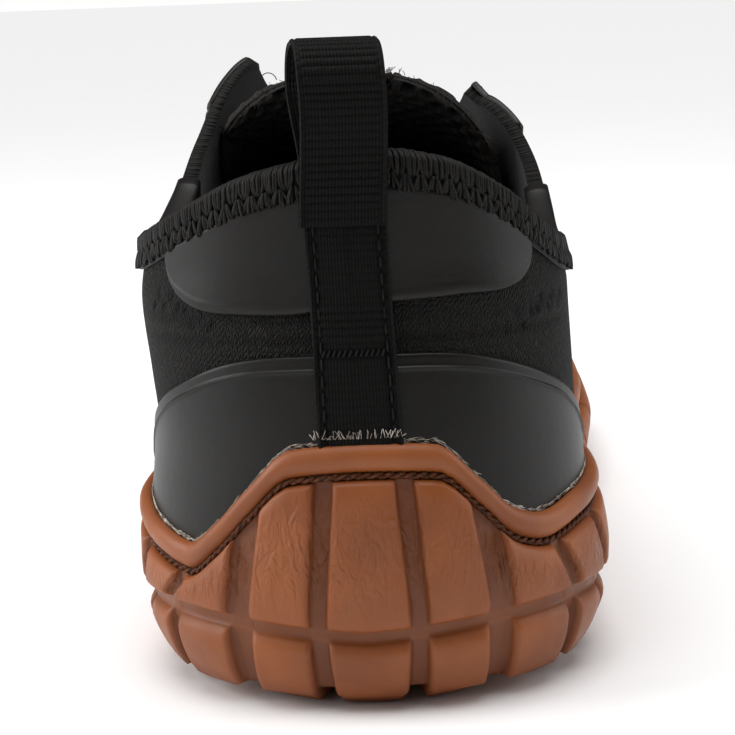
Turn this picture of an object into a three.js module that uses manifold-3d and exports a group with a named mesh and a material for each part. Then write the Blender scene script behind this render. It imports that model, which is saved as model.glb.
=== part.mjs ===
// Knit trainer, right shoe, size EU 42, with a gum rubber cup sole.
// Millimetres, +Z up, toe towards +Y, lateral (outer) side towards +X.
import * as THREE from "three";
import { mergeVertices } from "three/addons/utils/BufferGeometryUtils.js";
import Module from "manifold-3d";

const wasm = await Module();
wasm.setup();

// Driving dimensions: footprint of the sole
const soleLength = 282;
const heelWidth = 79.6;
const ballWidth = 104;
const heelRound = 40;
const toeRound = 75;
const toeSwing = 12;
const heelFullness = 2.1;
const lateralToeFullness = 2.05;
const medialToeFullness = 2.45;

// Driving dimensions: sole
const lugDepth = 3;
const soleFloor = 7;
const rimHeight = 43.7;
const rimThickness = 3;
const rimBead = 4.2;
const seamGroove = 1.3;
const blockRelief = 1.7;
const blockDraft = 0.5;
const lugBand = 11;
const footTuck = 11.5;
const lugReach = 12;
const archLift = 2.2;
const toeSpring = 8;
const barFromHeel = 26;
const barFromToe = 34;
const barSteps = 7;
const barShare = 0.62;
const centreGroove = 2.5;
const barClearance = 3.5;

// Driving dimensions: upper
const upperWall = 2.2;
const collarPadding = 2;
const upperInset = 5;
const upperLean = 1.8;
const throatTilt = 0.08;
const collarHeight = 87;
const throatGap = 21;
const throatEndGap = 9;
const throatEndRound = 8;
const wingFromHeel = 92;
const throatEndFromHeel = 186;
const ridgeEndFromToe = 32;
const ridgeSwing = 6;

// Driving dimensions: pieces on and in the upper
const seam = 0.3;
const film = 0.7;
const filmClear = 1.3;
const filmTip = 0.6;
const patchDepth = 17.4;
const knitBand = 7.3;
const bindingWall = 1;
const bindingDepth = 5;
const webbingWidth = 14;
const webbingThickness = 1.2;
const loopRise = 17;
const loopOverlap = 10;
const loopBow = 1.3;
const eyestayWidth = 15;
const eyestayBehindWing = 7.4;
const eyestayBeyondThroat = 17;
const eyeletRadius = 2.1;
const eyeletInset = 6;
const eyeletPairs = 5;
const firstEyelet = 118;
const lastEyelet = 174;
const laceWidth = 5;
const laceThickness = 1.6;
const laceBow = 0.6;
const laceLift = 1.2;
const tongueThickness = 4;
const tongueWidth = 59;
const tongueShift = -3;
const tongueFoot = 196;
const tongueTop = 74;
const tongueHeight = 98.5;
const tongueDrop = 31;
const insoleThickness = 3.2;

const LATERAL = 1;
const MEDIAL = -1;
const toeAxis = soleLength - toeRound;
const midLength = toeAxis - heelRound;
const heelFilmHeight = collarHeight - bindingDepth - seam - patchDepth - knitBand;

// Footprint between the two round ends: half widths as shares of the local width
const footprint = [
  { at: 0, lateral: 1.005, medial: 1 },
  { at: 0.21, lateral: 0.96, medial: 0.95 },
  { at: 0.4, lateral: 0.925, medial: 0.86 },
  { at: 0.6, lateral: 0.915, medial: 0.89 },
  { at: 0.78, lateral: 0.92, medial: 0.99 },
  { at: 0.9, lateral: 0.91, medial: 1.04 },
  { at: 1, lateral: 0.905, medial: 1.06 },
];

// Stations run from 0 at the heel's back, 1 at the heel's side, 2 at the ball to 3 at the toe's tip
// Top of the rim as shares of its height at the heel, and the widest level of the side wall
const rimLine = [
  { at: 0, lateral: 1, medial: 1, widest: 0.48, lift: 0.2 },
  { at: 0.18, lateral: 0.985, medial: 0.98, widest: 0.48, lift: 0.4 },
  { at: 0.3, lateral: 0.85, medial: 0.845, widest: 0.47, lift: 0.9 },
  { at: 0.42, lateral: 0.71, medial: 0.69, widest: 0.46, lift: 2 },
  { at: 0.53, lateral: 0.675, medial: 0.6, widest: 0.45, lift: 3 },
  { at: 0.7, lateral: 0.705, medial: 0.63, widest: 0.44, lift: 3.2 },
  { at: 1, lateral: 0.735, medial: 0.7, widest: 0.43, lift: 2 },
  { at: 1.35, lateral: 0.59, medial: 0.67, widest: 0.37, lift: 1 },
  { at: 1.66, lateral: 0.53, medial: 0.62, widest: 0.33, lift: 0.5 },
  { at: 2, lateral: 0.52, medial: 0.57, widest: 0.31, lift: 0.3 },
  { at: 2.5, lateral: 0.6, medial: 0.6, widest: 0.32, lift: 0.8 },
  { at: 3, lateral: 0.68, medial: 0.68, widest: 0.34, lift: 1.5 },
];

// Collar's top edge from the heel to the wing tip, as shares of its height at the heel
const collarLine = [
  { at: 0, lateral: 1, medial: 1 },
  { at: 0.12, lateral: 0.998, medial: 0.982 },
  { at: 0.3, lateral: 0.98, medial: 0.957 },
  { at: 0.5, lateral: 0.925, medial: 0.91 },
  { at: 0.7, lateral: 0.855, medial: 0.865 },
  { at: 0.85, lateral: 0.815, medial: 0.84 },
  { at: 1, lateral: 0.8, medial: 0.83 },
  { at: 1.06, lateral: 0.8, medial: 0.83 },
  { at: 1.16, lateral: 0.845, medial: 0.88 },
  { at: 1.24, lateral: 0.94, medial: 0.99 },
  { at: 1.31, lateral: 1.05, medial: 1.15 },
];

// Instep ridge over the length, height as shares of the collar's: behind the throat it is only construction
const ridgeLine = [
  { at: 0, height: 3.1 },
  { at: 0.14, height: 2.9 },
  { at: 0.195, height: 2.25 },
  { at: 0.248, height: 1.66 },
  { at: 0.284, height: 1.37 },
  { at: 0.326, height: 1.165 },
  { at: 0.39, height: 1.075 },
  { at: 0.46, height: 0.985 },
  { at: 0.53, height: 0.875 },
  { at: 0.6, height: 0.775 },
  { at: 0.67, height: 0.69 },
  { at: 0.735, height: 0.625 },
  { at: 0.81, height: 0.535 },
  { at: 0.887, height: 0.45 },
  { at: 1, height: 0.36 },
];

// Power of the superellipse that a section's arch follows: 2 is round, and more is squarer
const archLine = [
  { at: 0, lateral: 2.3, medial: 2.3 },
  { at: 0.9, lateral: 2.3, medial: 2.3 },
  { at: 1.2, lateral: 2.95, medial: 3.3 },
  { at: 1.6, lateral: 2.45, medial: 2.6 },
  { at: 2.6, lateral: 2.45, medial: 2.45 },
];

// How far the wall stands out from its plain arch, as shares of the heel's half width, over its height
const wallSwell = [
  { at: 0, back: 0, lateral: 0, medial: 0 },
  { at: 0.25, back: 0.03, lateral: 0.02, medial: 0.03 },
  { at: 0.42, back: 0.02, lateral: 0.015, medial: 0 },
  { at: 0.55, back: 0, lateral: 0.015, medial: 0.02 },
  { at: 0.7, back: -0.03, lateral: 0.015, medial: 0.045 },
  { at: 0.8, back: -0.035, lateral: -0.015, medial: 0.02 },
  { at: 1, back: -0.03, lateral: -0.02, medial: 0.01 },
];

// Side blocks near the heel, by their distance from its back at the rim, at the groove and on the floor
const heelBlocks = [
  { start: [7.3, 8.9, 9.6], end: [17, 19.6, 21.5] },
  { start: [22, 24, 25.5], end: [34, 37.5, 40] },
  { start: [36.5, 40.5, 43], end: [48.5, 52, 54.5] },
];
const centreBlock = [4.9, 6.4, 6.3];
const blockGap = 2.8;
const plainBlocks = 8;

// Eyestay's outline from above, from its back end to its front end: reach from the spine in eyestay widths
const eyestayLine = [
  { along: 0, out: 1.95 },
  { along: 0.14, out: 1.9 },
  { along: 0.48, out: 1.75 },
  { along: 0.76, out: 1.6 },
  { along: 0.905, out: 1.35 },
  { along: 0.976, out: 0.85 },
  { along: 1, out: 0.3 },
];

const lerp = THREE.MathUtils.lerp;
const clamp = THREE.MathUtils.clamp;
const smooth = (t) => THREE.MathUtils.smoothstep(t, 0, 1);
const vec = (x, y, z) => new THREE.Vector3(x, y, z);

// A smooth curve through a table's column that doesn't overshoot and is level at both ends.
function column(rows, key) {
  const x = rows.map((row) => row.at);
  const y = rows.map((row) => row[key]);
  const step = x.slice(1).map((v, i) => v - x[i]);
  const slope = step.map((h, i) => (y[i + 1] - y[i]) / h);
  const tangent = x.map((_, i) => {
    if (i === 0 || i === x.length - 1) return 0;
    const [a, b] = [slope[i - 1], slope[i]];
    return a * b <= 0 ? 0 : (2 * a * b) / (a + b);
  });
  return (at) => {
    const v = clamp(at, x[0], x[x.length - 1]);
    const i = Math.min(x.findLastIndex((start) => start <= v), step.length - 1);
    const h = step[i];
    const t = (v - x[i]) / h;
    const s = 1 - t;
    return (
      s * s * (1 + 2 * t) * y[i] + t * t * (3 - 2 * t) * y[i + 1] +
      t * s * h * (s * tangent[i] - t * tangent[i + 1])
    );
  };
}

const bothSides = (rows) => ({ [LATERAL]: column(rows, "lateral"), [MEDIAL]: column(rows, "medial") });
const footprintShare = bothSides(footprint);
const rimShare = bothSides(rimLine);
const widestShare = column(rimLine, "widest");
const lugLift = column(rimLine, "lift");
const collarShare = bothSides(collarLine);
const ridgeShare = column(ridgeLine, "height");
const backSwell = column(wallSwell, "back");
const sideSwell = bothSides(wallSwell);
const archFullness = bothSides(archLine);

const rimTop = (side, station) => rimHeight * rimShare[side](station);
const widestLevel = (station) => rimHeight * widestShare(station);
const collarTop = (side, station) => collarHeight * collarShare[side](station);
const ridgeHeight = (y) => collarHeight * ridgeShare(y / soleLength);
const stationAtLength = (y) => 1 + (y - heelRound) / midLength;

// Half width of the footprint between its round ends.
function halfWidth(side, share) {
  const local = lerp(heelWidth, ballWidth, smooth(share)) / 2;
  return local * footprintShare[side](share);
}

// A point of the footprint drawn in by inset: a round heel, the table's sides, and a toe that swings inwards.
function footprintPoint(side, station, inset) {
  if (station <= 1) {
    const turn = (station * Math.PI) / 2;
    const power = 2 / heelFullness;
    return new THREE.Vector2(
      side * (halfWidth(side, 0) - inset) * Math.sin(turn) ** power,
      heelRound - (heelRound - inset) * Math.max(Math.cos(turn), 0) ** power,
    );
  }
  if (station <= 2) {
    const share = station - 1;
    return new THREE.Vector2(side * (halfWidth(side, share) - inset), heelRound + midLength * share);
  }
  const turn = ((station - 2) * Math.PI) / 2;
  const power = 2 / (side === LATERAL ? lateralToeFullness : medialToeFullness);
  const centre = (halfWidth(LATERAL, 1) - halfWidth(MEDIAL, 1)) / 2;
  const reach = halfWidth(side, 1) - side * centre - inset;
  const forward = Math.sin(turn) ** power;
  return new THREE.Vector2(
    centre + side * reach * Math.max(Math.cos(turn), 0) ** power - toeSwing * forward ** 2,
    toeAxis + (toeRound - inset) * forward,
  );
}

// The point under the ridge that a section looks out from: fixed at the heel, then on to the ridge's end.
function spinePoint(station) {
  if (station <= 1) return new THREE.Vector2(0, heelRound);
  if (station <= 2) {
    const share = station - 1;
    const centre = (halfWidth(LATERAL, share) - halfWidth(MEDIAL, share)) / 2;
    return new THREE.Vector2(lerp(0, centre - ridgeSwing, smooth(share)), heelRound + midLength * share);
  }
  const ball = spinePoint(2);
  const share = Math.sin(((station - 2) * Math.PI) / 2);
  return new THREE.Vector2(
    ball.x - toeSwing * 0.5 * share,
    lerp(toeAxis, soleLength - ridgeEndFromToe, share),
  );
}

// Half of the throat's gap, which closes in a round front end.
function gapAt(y) {
  const straightEnd = throatEndFromHeel - throatEndRound;
  const share = clamp((y - wingFromHeel) / (straightEnd - wingFromHeel), 0, 1);
  const over = clamp((y - straightEnd) / throatEndRound, 0, 1);
  return lerp(throatGap, throatEndGap, share) * Math.sqrt(1 - over * over);
}

// Where a section's arch is cut: at the collar's height, at the throat's gap, or not at all over the vamp.
function archEnd(side, station) {
  const spine = spinePoint(station);
  if (spine.y < wingFromHeel) return angleAtHeight(side, station, collarTop(side, station));
  const power = archFullness[side](station);
  const base = footprintPoint(side, station, upperInset);
  const across = spine.y < throatEndFromHeel ? gapAt(spine.y) / base.distanceTo(spine) : 0;
  return Math.atan2((1 - across ** power) ** (1 / power), across);
}

// A point of the upper's outer face: an arch from the footprint to the ridge, swelled at the heel and ankle.
function archPoint(side, station, angle) {
  const power = archFullness[side](station);
  const scale = (Math.cos(angle) ** power + Math.sin(angle) ** power) ** (-1 / power);
  const base = footprintPoint(side, station, upperInset);
  const spine = spinePoint(station);
  const plan = spine.clone().lerp(base, Math.cos(angle) * scale);
  const throatShare = clamp((plan.y - wingFromHeel) / (throatEndFromHeel - wingFromHeel), 0, 1);
  const tilt = side === MEDIAL ? 1 + throatTilt * (1 - smooth(throatShare)) : 1;
  const z = soleFloor + (ridgeHeight(plan.y) - soleFloor) * Math.sin(angle) * scale * tilt;
  const fade = 1 - smooth((spine.y - heelRound) / (wingFromHeel - heelRound));
  if (fade > 0) {
    const level = clamp((z - soleFloor) / (collarHeight - soleFloor), 0, 1);
    const roundTheHeel = smooth(Math.min(station, 1));
    const swell = lerp(backSwell(level), sideSwell[side](level), roundTheHeel) * (heelWidth / 2) * fade;
    plan.add(base.clone().sub(spine).normalize().multiplyScalar(swell));
    plan.x -= upperLean * level * fade;
  }
  return vec(plan.x, plan.y, z);
}

const upperPoint = (side, station, rise) => archPoint(side, station, rise * archEnd(side, station));

// The angle at which a section's arch reaches a height, by halving.
function angleAtHeight(side, station, z) {
  let [low, high] = [0, Math.PI / 2];
  for (let i = 0; i < 30; i++) {
    const middle = (low + high) / 2;
    if (archPoint(side, station, middle).z < z) low = middle;
    else high = middle;
  }
  return low;
}

// The outward normal of the arch, from two small steps on it; on the ridge it is the same for both sides.
function archNormal(side, station, angle) {
  const small = 1e-3;
  const [back, ahead] = [Math.max(station - small, 0), Math.min(station + small, 3)];
  if (angle === Math.PI / 2) {
    const rise = ridgeHeight(spinePoint(ahead).y) - ridgeHeight(spinePoint(back).y);
    return vec(0, -rise, spinePoint(ahead).y - spinePoint(back).y).normalize();
  }
  const turn = clamp(angle, small, Math.PI / 2 - small);
  const along = archPoint(side, ahead, turn).sub(archPoint(side, back, turn));
  const up = archPoint(side, station, turn + small).sub(archPoint(side, station, turn - small));
  const normal = up.cross(along).multiplyScalar(-side);
  if (station === 0 || station === 3) normal.x = 0;
  return normal.normalize();
}

// A point raised by offset from the arch, or sunk below it where offset is negative.
function offArch(side, station, angle, offset) {
  return archPoint(side, station, angle).addScaledVector(archNormal(side, station, angle), offset);
}

// Triangles between two grids of points and along their borders; skipTop says where the last row has none.
function slab(outer, inner, { closed = false, skipTop = () => false } = {}) {
  const columns = outer.length;
  const rows = outer[0].length;
  const triangles = [];
  const quad = (a, b, c, d) => triangles.push(a, b, c, a, c, d);
  for (let i = 0; i < columns - (closed ? 0 : 1); i++) {
    const next = (i + 1) % columns;
    for (let j = 0; j < rows - 1; j++) {
      quad(outer[i][j], outer[next][j], outer[next][j + 1], outer[i][j + 1]);
      quad(inner[i][j], inner[i][j + 1], inner[next][j + 1], inner[next][j]);
    }
    quad(outer[i][0], inner[i][0], inner[next][0], outer[next][0]);
    if (!skipTop(i)) {
      const top = rows - 1;
      quad(outer[i][top], outer[next][top], inner[next][top], inner[i][top]);
    }
  }
  if (!closed) {
    const end = columns - 1;
    for (let j = 0; j < rows - 1; j++) {
      quad(outer[0][j], outer[0][j + 1], inner[0][j + 1], inner[0][j]);
      quad(outer[end][j], inner[end][j], inner[end][j + 1], outer[end][j + 1]);
    }
  }
  return closedGeometry(triangles);
}

// Rings laid one after another, with rungs across the first and the last: each ring runs round both sides.
function ringedBody(rings) {
  const triangles = [];
  const count = rings[0].length;
  const half = count / 2;
  for (let r = 0; r < rings.length - 1; r++) {
    for (let i = 0; i < count; i++) {
      const next = (i + 1) % count;
      const [a, b, c, d] = [rings[r][i], rings[r][next], rings[r + 1][next], rings[r + 1][i]];
      triangles.push(a, b, c, a, c, d);
    }
  }
  const cap = (ring, flip) => {
    for (let i = 0; i < half; i++) {
      const [a, b] = [ring[i], ring[i + 1]];
      const [c, d] = [ring[(count - i - 1) % count], ring[(count - i) % count]];
      for (const face of [[a, c, b], [a, d, c]]) {
        if (new Set(face).size < 3) continue;
        triangles.push(...(flip ? face.reverse() : face));
      }
    }
  };
  cap(rings[0], false);
  cap(rings[rings.length - 1], true);
  return closedGeometry(triangles);
}

// A geometry from triangle corners, without faces that have no area, turned so that it faces outwards.
function closedGeometry(points) {
  const positions = points.flatMap((p) => [p.x, p.y, p.z]);
  const loose = new THREE.BufferGeometry();
  loose.setAttribute("position", new THREE.Float32BufferAttribute(positions, 3));
  const merged = mergeVertices(loose, 1e-3);
  const index = merged.index.array;
  const kept = [];
  for (let i = 0; i < index.length; i += 3) {
    const [a, b, c] = [index[i], index[i + 1], index[i + 2]];
    if (a !== b && b !== c && c !== a) kept.push(a, b, c);
  }
  merged.setIndex(signedVolume(merged, kept) < 0 ? kept.reverse() : kept);
  return merged;
}

function signedVolume(geometry, index) {
  const corner = (i) => vec().fromBufferAttribute(geometry.attributes.position, index[i]);
  let volume = 0;
  for (let i = 0; i < index.length; i += 3) {
    volume += corner(i).dot(corner(i + 1).cross(corner(i + 2))) / 6;
  }
  return volume;
}

function solidFrom(geometry) {
  const vertProperties = new Float32Array(geometry.attributes.position.array);
  const triVerts = new Uint32Array(geometry.index.array);
  return new wasm.Manifold(new wasm.Mesh({ numProp: 3, vertProperties, triVerts }));
}

function geometryFrom(solid) {
  const mesh = solid.getMesh();
  const geometry = new THREE.BufferGeometry();
  geometry.setAttribute("position", new THREE.BufferAttribute(new Float32Array(mesh.vertProperties), 3));
  geometry.setIndex(new THREE.BufferAttribute(new Uint32Array(mesh.triVerts), 1));
  return geometry;
}

// Any three.js geometry as a solid, once its seams are merged.
function plainSolid(geometry) {
  const bare = geometry.index ? geometry.toNonIndexed() : geometry;
  bare.deleteAttribute("normal");
  bare.deleteAttribute("uv");
  return solidFrom(mergeVertices(bare, 1e-4));
}

// Every piece is built on a flat floor, and this lifts its front by the toe spring.
const springStart = toeAxis - 5;
function bend(geometry) {
  const position = geometry.attributes.position;
  for (let i = 0; i < position.count; i++) {
    const share = clamp((position.getY(i) - springStart) / (soleLength - springStart), 0, 1.2);
    position.setZ(i, position.getZ(i) + toeSpring * share ** 2);
  }
  return geometry;
}

const evenly = (from, to, count) => Array.from({ length: count + 1 }, (_, i) => lerp(from, to, i / count));

// Sections of the upper: rows from the sole up, and half a round of stations from the heel to the toe
const upperRows = 8;
const collarStations = evenly(heelRound, wingFromHeel, 5).slice(1).map(stationAtLength);
const lengthStations = [
  ...evenly(wingFromHeel, throatEndFromHeel - throatEndRound, 7).slice(1),
  throatEndFromHeel - throatEndRound * 0.4,
  throatEndFromHeel,
  (throatEndFromHeel + toeAxis) / 2,
].map(stationAtLength);
const upperStations = [...evenly(0, 1, 8), ...collarStations, ...lengthStations, ...evenly(2, 3, 8)];

// A full round of [side, station] pairs: up the lateral side, over the toe and back down the medial side.
function fullRound(stations) {
  const inner = stations.slice(1, -1);
  return [
    [LATERAL, stations[0]],
    ...inner.map((s) => [LATERAL, s]),
    [LATERAL, stations[stations.length - 1]],
    ...inner.toReversed().map((s) => [MEDIAL, s]),
  ];
}

const isVamp = (station) => spinePoint(station).y >= throatEndFromHeel - 1e-6;

// Knit wall, thicker where the collar is padded.
function wallAt(station, rise) {
  const spine = spinePoint(station);
  const padded = 1 - smooth((spine.y - heelRound) / (wingFromHeel - heelRound));
  return upperWall + collarPadding * padded * smooth((rise - 0.55) / 0.3);
}

// A layer of the upper's whole form between two offsets from its outer face, closed over the vamp's ridge.
function upperShell(outerOffset, innerOffset) {
  const round = fullRound(upperStations);
  const grid = (offset) =>
    round.map(([side, station]) =>
      evenly(0, 1, upperRows).map((rise) => {
        const angle = rise * archEnd(side, station);
        const point = offArch(side, station, angle, offset(station, rise));
        if (rise === 0) point.z = soleFloor + seam;
        return point;
      }),
    );
  const skipTop = (i) => isVamp(round[i][1]) && isVamp(round[(i + 1) % round.length][1]);
  return solidFrom(slab(grid(outerOffset), grid(innerOffset), { closed: true, skipTop }));
}

function makeUpper() {
  let solid = upperShell(() => 0, (station, rise) => -wallAt(station, rise));
  for (const hole of eyeletHoles()) solid = solid.subtract(hole);
  return geometryFrom(solid);
}

// The place at a distance down the arch from where its section ends, found in small steps.
function placeDown(side, station, distance) {
  const steps = 400;
  let angle = archEnd(side, station);
  let gone = 0;
  let last = archPoint(side, station, angle);
  while (gone < distance && angle > 0) {
    angle -= Math.PI / 2 / steps;
    const point = archPoint(side, station, Math.max(angle, 0));
    gone += point.distanceTo(last);
    last = point;
  }
  return { side, station, angle: Math.max(angle, 0) };
}

const eyeletLengths = evenly(firstEyelet, lastEyelet, eyeletPairs - 1);
const eyelets = (side) => eyeletLengths.map((y) => placeDown(side, stationAtLength(y), eyeletInset));

function eyeletHoles() {
  const places = [...eyelets(LATERAL), ...eyelets(MEDIAL)];
  return places.map(({ side, station, angle }) => {
    const geometry = new THREE.CylinderGeometry(eyeletRadius, eyeletRadius, 14, 6);
    const normal = archNormal(side, station, angle);
    geometry.applyQuaternion(new THREE.Quaternion().setFromUnitVectors(vec(0, 1, 0), normal));
    const centre = archPoint(side, station, angle);
    geometry.translate(centre.x, centre.y, centre.z);
    return plainSolid(geometry);
  });
}

// Distance along the girth from the heel's back to a station: round the heel, along the side, round the toe
const heelGirth = (heelWidth / 2) * (Math.PI / 2);
const toeGirth = ((ballWidth / 2 + toeRound) / 2) * (Math.PI / 2);
const halfGirth = heelGirth + midLength + toeGirth;
function stationAtGirth(girth) {
  if (girth <= heelGirth) return girth / heelGirth;
  if (girth <= heelGirth + midLength) return 1 + (girth - heelGirth) / midLength;
  return Math.min(2 + (girth - heelGirth - midLength) / toeGirth, 3);
}

// The side's blocks from the heel's back to the toe's tip; the first and last are half blocks.
function sideBlocks() {
  const first = heelBlocks[heelBlocks.length - 1].end.map((end) => end + blockGap);
  const last = centreBlock.map((half) => halfGirth - half - blockGap);
  const blocks = [{ start: [0, 0, 0], end: centreBlock }, ...heelBlocks];
  for (let i = 0; i < plainBlocks; i++) {
    const at = (share) => first.map((start, level) => lerp(start, last[level] + blockGap, share));
    blocks.push({
      start: at(i / plainBlocks),
      end: at((i + 1) / plainBlocks).map((end) => end - blockGap),
    });
  }
  const middle = [halfGirth, halfGirth, halfGirth];
  blocks.push({ start: centreBlock.map((half) => halfGirth - half), end: middle });
  return blocks;
}

// Columns of the sole's grid on one side, each with its girth at three levels and whether it is in a block.
function soleColumns() {
  const columns = [];
  const add = (girths, raised) => columns.push({ girths, raised });
  const shift = (girths, by) => girths.map((girth) => girth + by);
  const blocks = sideBlocks();
  blocks.forEach(({ start, end }, i) => {
    const firstBlock = i === 0;
    const lastBlock = i === blocks.length - 1;
    if (!firstBlock) {
      add(start, false);
      add(shift(start, blockDraft), true);
    } else add(start, true);
    const from = firstBlock ? start : shift(start, blockDraft);
    const to = lastBlock ? end : shift(end, -blockDraft);
    const curved = end[1] < heelGirth + 8 || start[1] > halfGirth - toeGirth;
    const parts = Math.ceil((to[1] - from[1]) / (curved ? 10 : 20));
    for (let k = 1; k < parts; k++) add(from.map((g, level) => lerp(g, to[level], k / parts)), true);
    if (!lastBlock) {
      add(shift(end, -blockDraft), true);
      add(end, false);
      const wide = blocks[i + 1].start[1] - end[1];
      if (wide > 6) add(end.map((g, level) => (g + blocks[i + 1].start[level]) / 2), false);
    } else add(end, true);
  });
  return columns;
}

// How far the bare side wall lies out from the footprint at a height: tucked under, widest, then in.
function wallOut(side, station, z) {
  const widest = widestLevel(station);
  if (z < widest) {
    const share = (widest - z) / (widest * 1.03);
    return -footTuck * (1 - Math.sqrt(1 - share * share));
  }
  const rim = rimTop(side, station) - rimBead;
  const share = clamp((z - widest) / (rim - widest), 0, 1);
  return rimOut(side, station, rim) * share ** 1.6;
}

// The rim hugs the upper: its outer face lies the seam and its own thickness out from the upper's face.
function rimOut(side, station, z) {
  const base = footprintPoint(side, station, 0);
  const spine = spinePoint(station);
  return planReach(side, station, z) + seam + rimThickness - base.distanceTo(spine);
}

function planReach(side, station, z) {
  const point = archPoint(side, station, angleAtHeight(side, station, z));
  return Math.hypot(point.x - spinePoint(station).x, point.y - spinePoint(station).y);
}

function pointAtReach(side, station, reach, z) {
  const spine = spinePoint(station);
  const way = footprintPoint(side, station, 0).sub(spine).normalize();
  return vec(spine.x + way.x * reach, spine.y + way.y * reach, z);
}

// Rows of the sole's section from its floor inside, up and over the rim, down the side and under the lugs.
function soleSection(side, { girths, raised }) {
  const stationAt = (level) => {
    const girth = level < 1 ? lerp(girths[0], girths[1], level) : lerp(girths[1], girths[2], level - 1);
    return stationAtGirth(girth);
  };
  const top = stationAt(0);
  const rim = rimTop(side, top);
  const inside = (z, out) => {
    const reach = planReach(side, top, Math.max(z, soleFloor + 0.5)) + seam + out;
    return pointAtReach(side, top, reach, z);
  };
  const outside = (level, z, relief) => {
    const station = stationAt(level);
    const base = footprintPoint(side, station, 0).distanceTo(spinePoint(station));
    const height = raised ? relief : 0;
    return pointAtReach(side, station, base + wallOut(side, station, z) - blockRelief + height, z);
  };
  const blockTop = rim - rimBead - seamGroove;
  const forwards = lerp(1, 0.8, clamp(top - 1, 0, 1));
  const band = lugBand * forwards * (1 + 0.18 * Math.sin(Math.min(top, 1) * Math.PI));
  const foot = stationAt(2);
  const archShare = Math.sin(Math.PI * clamp((foot - 1.1) / 0.6, 0, 1)) ** 2;
  const arch = lugLift(foot) + archLift * (side === MEDIAL ? 1 : 0.35) * archShare;
  const floorBase = footprintPoint(side, foot, 0).distanceTo(spinePoint(foot));
  const underfoot = (back, z) => {
    const tucked = floorBase + wallOut(side, foot, 0) - back;
    return pointAtReach(side, foot, Math.max(tucked, floorBase * 0.3), z);
  };
  return [
    inside(rim, -rimThickness),
    inside(rim, rimThickness * 0.4),
    inside(rim - rimBead * 0.25, rimThickness * 0.9),
    inside(rim - rimBead * 0.75, rimThickness),
    inside(rim - rimBead - seamGroove * 0.5, rimThickness * 0.4),
    outside(0, blockTop, 0),
    outside(0.04, blockTop - blockDraft * 1.2, blockRelief),
    outside(0.5, lerp(blockTop, band + 3, 0.5), blockRelief),
    outside(1, band + 2.8, blockRelief),
    outside(1.05, band + 1.2, 0),
    outside(1.13, band - 0.8, blockRelief),
    outside(1.5, band * 0.42, blockRelief),
    raised ? outside(1.95, 0.8 + arch, blockRelief) : outside(1.95, lugDepth + 0.6, 0),
    raised ? underfoot(1, arch) : underfoot(2.6, lugDepth),
    raised ? underfoot(lugReach - 0.5, arch * 0.4) : underfoot(lugReach - 0.5, lugDepth),
    underfoot(lugReach, lugDepth),
  ];
}

// Cross bars under the foot, cut by a centre groove into pairs.
function treadBars() {
  const bars = [];
  const [from, to] = [barFromHeel, soleLength - barFromToe];
  const length = ((to - from) / barSteps) * barShare;
  const slant = length * 0.35;
  const tuck = footTuck + lugReach + barClearance;
  for (const y of evenly(from, to, barSteps)) {
    for (const side of [LATERAL, MEDIAL]) {
      const reach = halfWidth(side, clamp((y - heelRound) / midLength, 0, 1));
      const shorter = y > toeAxis ? Math.sqrt(1 - ((y - toeAxis) / toeRound) ** 2) : 1;
      const out = reach * shorter - tuck;
      if (out < centreGroove * 2) continue;
      const shape = new THREE.Shape();
      shape.moveTo(side * centreGroove, y - length / 2 - slant);
      shape.lineTo(side * out, y - length / 2 + slant * 0.4);
      shape.lineTo(side * out, y + length / 2 + slant * 0.4);
      shape.lineTo(side * centreGroove, y + length / 2 - slant);
      const bar = new THREE.ExtrudeGeometry(shape, { depth: lugDepth + 1, bevelEnabled: false });
      const centre = spinePoint(stationAtLength(clamp(y, heelRound, toeAxis))).x;
      bar.translate(centre * 0.5, 0, 0);
      bars.push(plainSolid(bar));
    }
  }
  return bars;
}

// The room for the upper and the insole, a seam wider than the upper itself.
function footRoom() {
  const round = fullRound(upperStations);
  const rings = evenly(0, 1, upperRows).map((rise) =>
    round.map(([side, station]) => {
      const point = offArch(side, station, rise * archEnd(side, station), seam);
      if (rise === 0) point.z = soleFloor;
      return point;
    }),
  );
  return ringedBody(rings);
}

function makeOutsole() {
  const columns = soleColumns();
  const lateral = columns.map((column) => soleSection(LATERAL, column));
  const medial = columns.slice(1, -1).toReversed().map((column) => soleSection(MEDIAL, column));
  const round = [...lateral, ...medial];
  const rings = round[0].map((_, row) => round.map((section) => section[row]));
  let solid = solidFrom(ringedBody(rings)).subtract(solidFrom(footRoom()));
  for (const bar of treadBars()) solid = solid.add(bar);
  return geometryFrom(solid);
}

function makeInsole() {
  const round = fullRound(upperStations.filter((_, i) => i % 2 === 0));
  const ring = (z) =>
    round.map(([side, station]) => {
      const reach = planReach(side, station, soleFloor + seam + insoleThickness) - upperWall - seam * 2.5;
      return pointAtReach(side, station, reach, z);
    });
  const low = soleFloor + seam;
  return ringedBody([ring(low + insoleThickness), ring(low)]);
}

// A thin piece over the upper between two height lines, which meet at its ends.
function overlay(stations, lower, upper, rows, { near, far }) {
  const grid = (offset) =>
    stations.map(([side, station]) =>
      evenly(0, 1, rows).map((share) => {
        const z = lerp(lower(side, station), upper(side, station), share);
        return offArch(side, station, angleAtHeight(side, station, z), offset);
      }),
    );
  return slab(grid(far), grid(near));
}

// [side, station] pairs of the upper's own sections, from a medial one round the heel to the lateral one.
function roundTheHeel(end) {
  const half = [...upperStations.filter((station) => station < end - 0.03), end];
  return [...half.toReversed().map((s) => [MEDIAL, s]), ...half.slice(1).map((s) => [LATERAL, s])];
}

const filmLayer = { near: seam, far: seam + film };

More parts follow.
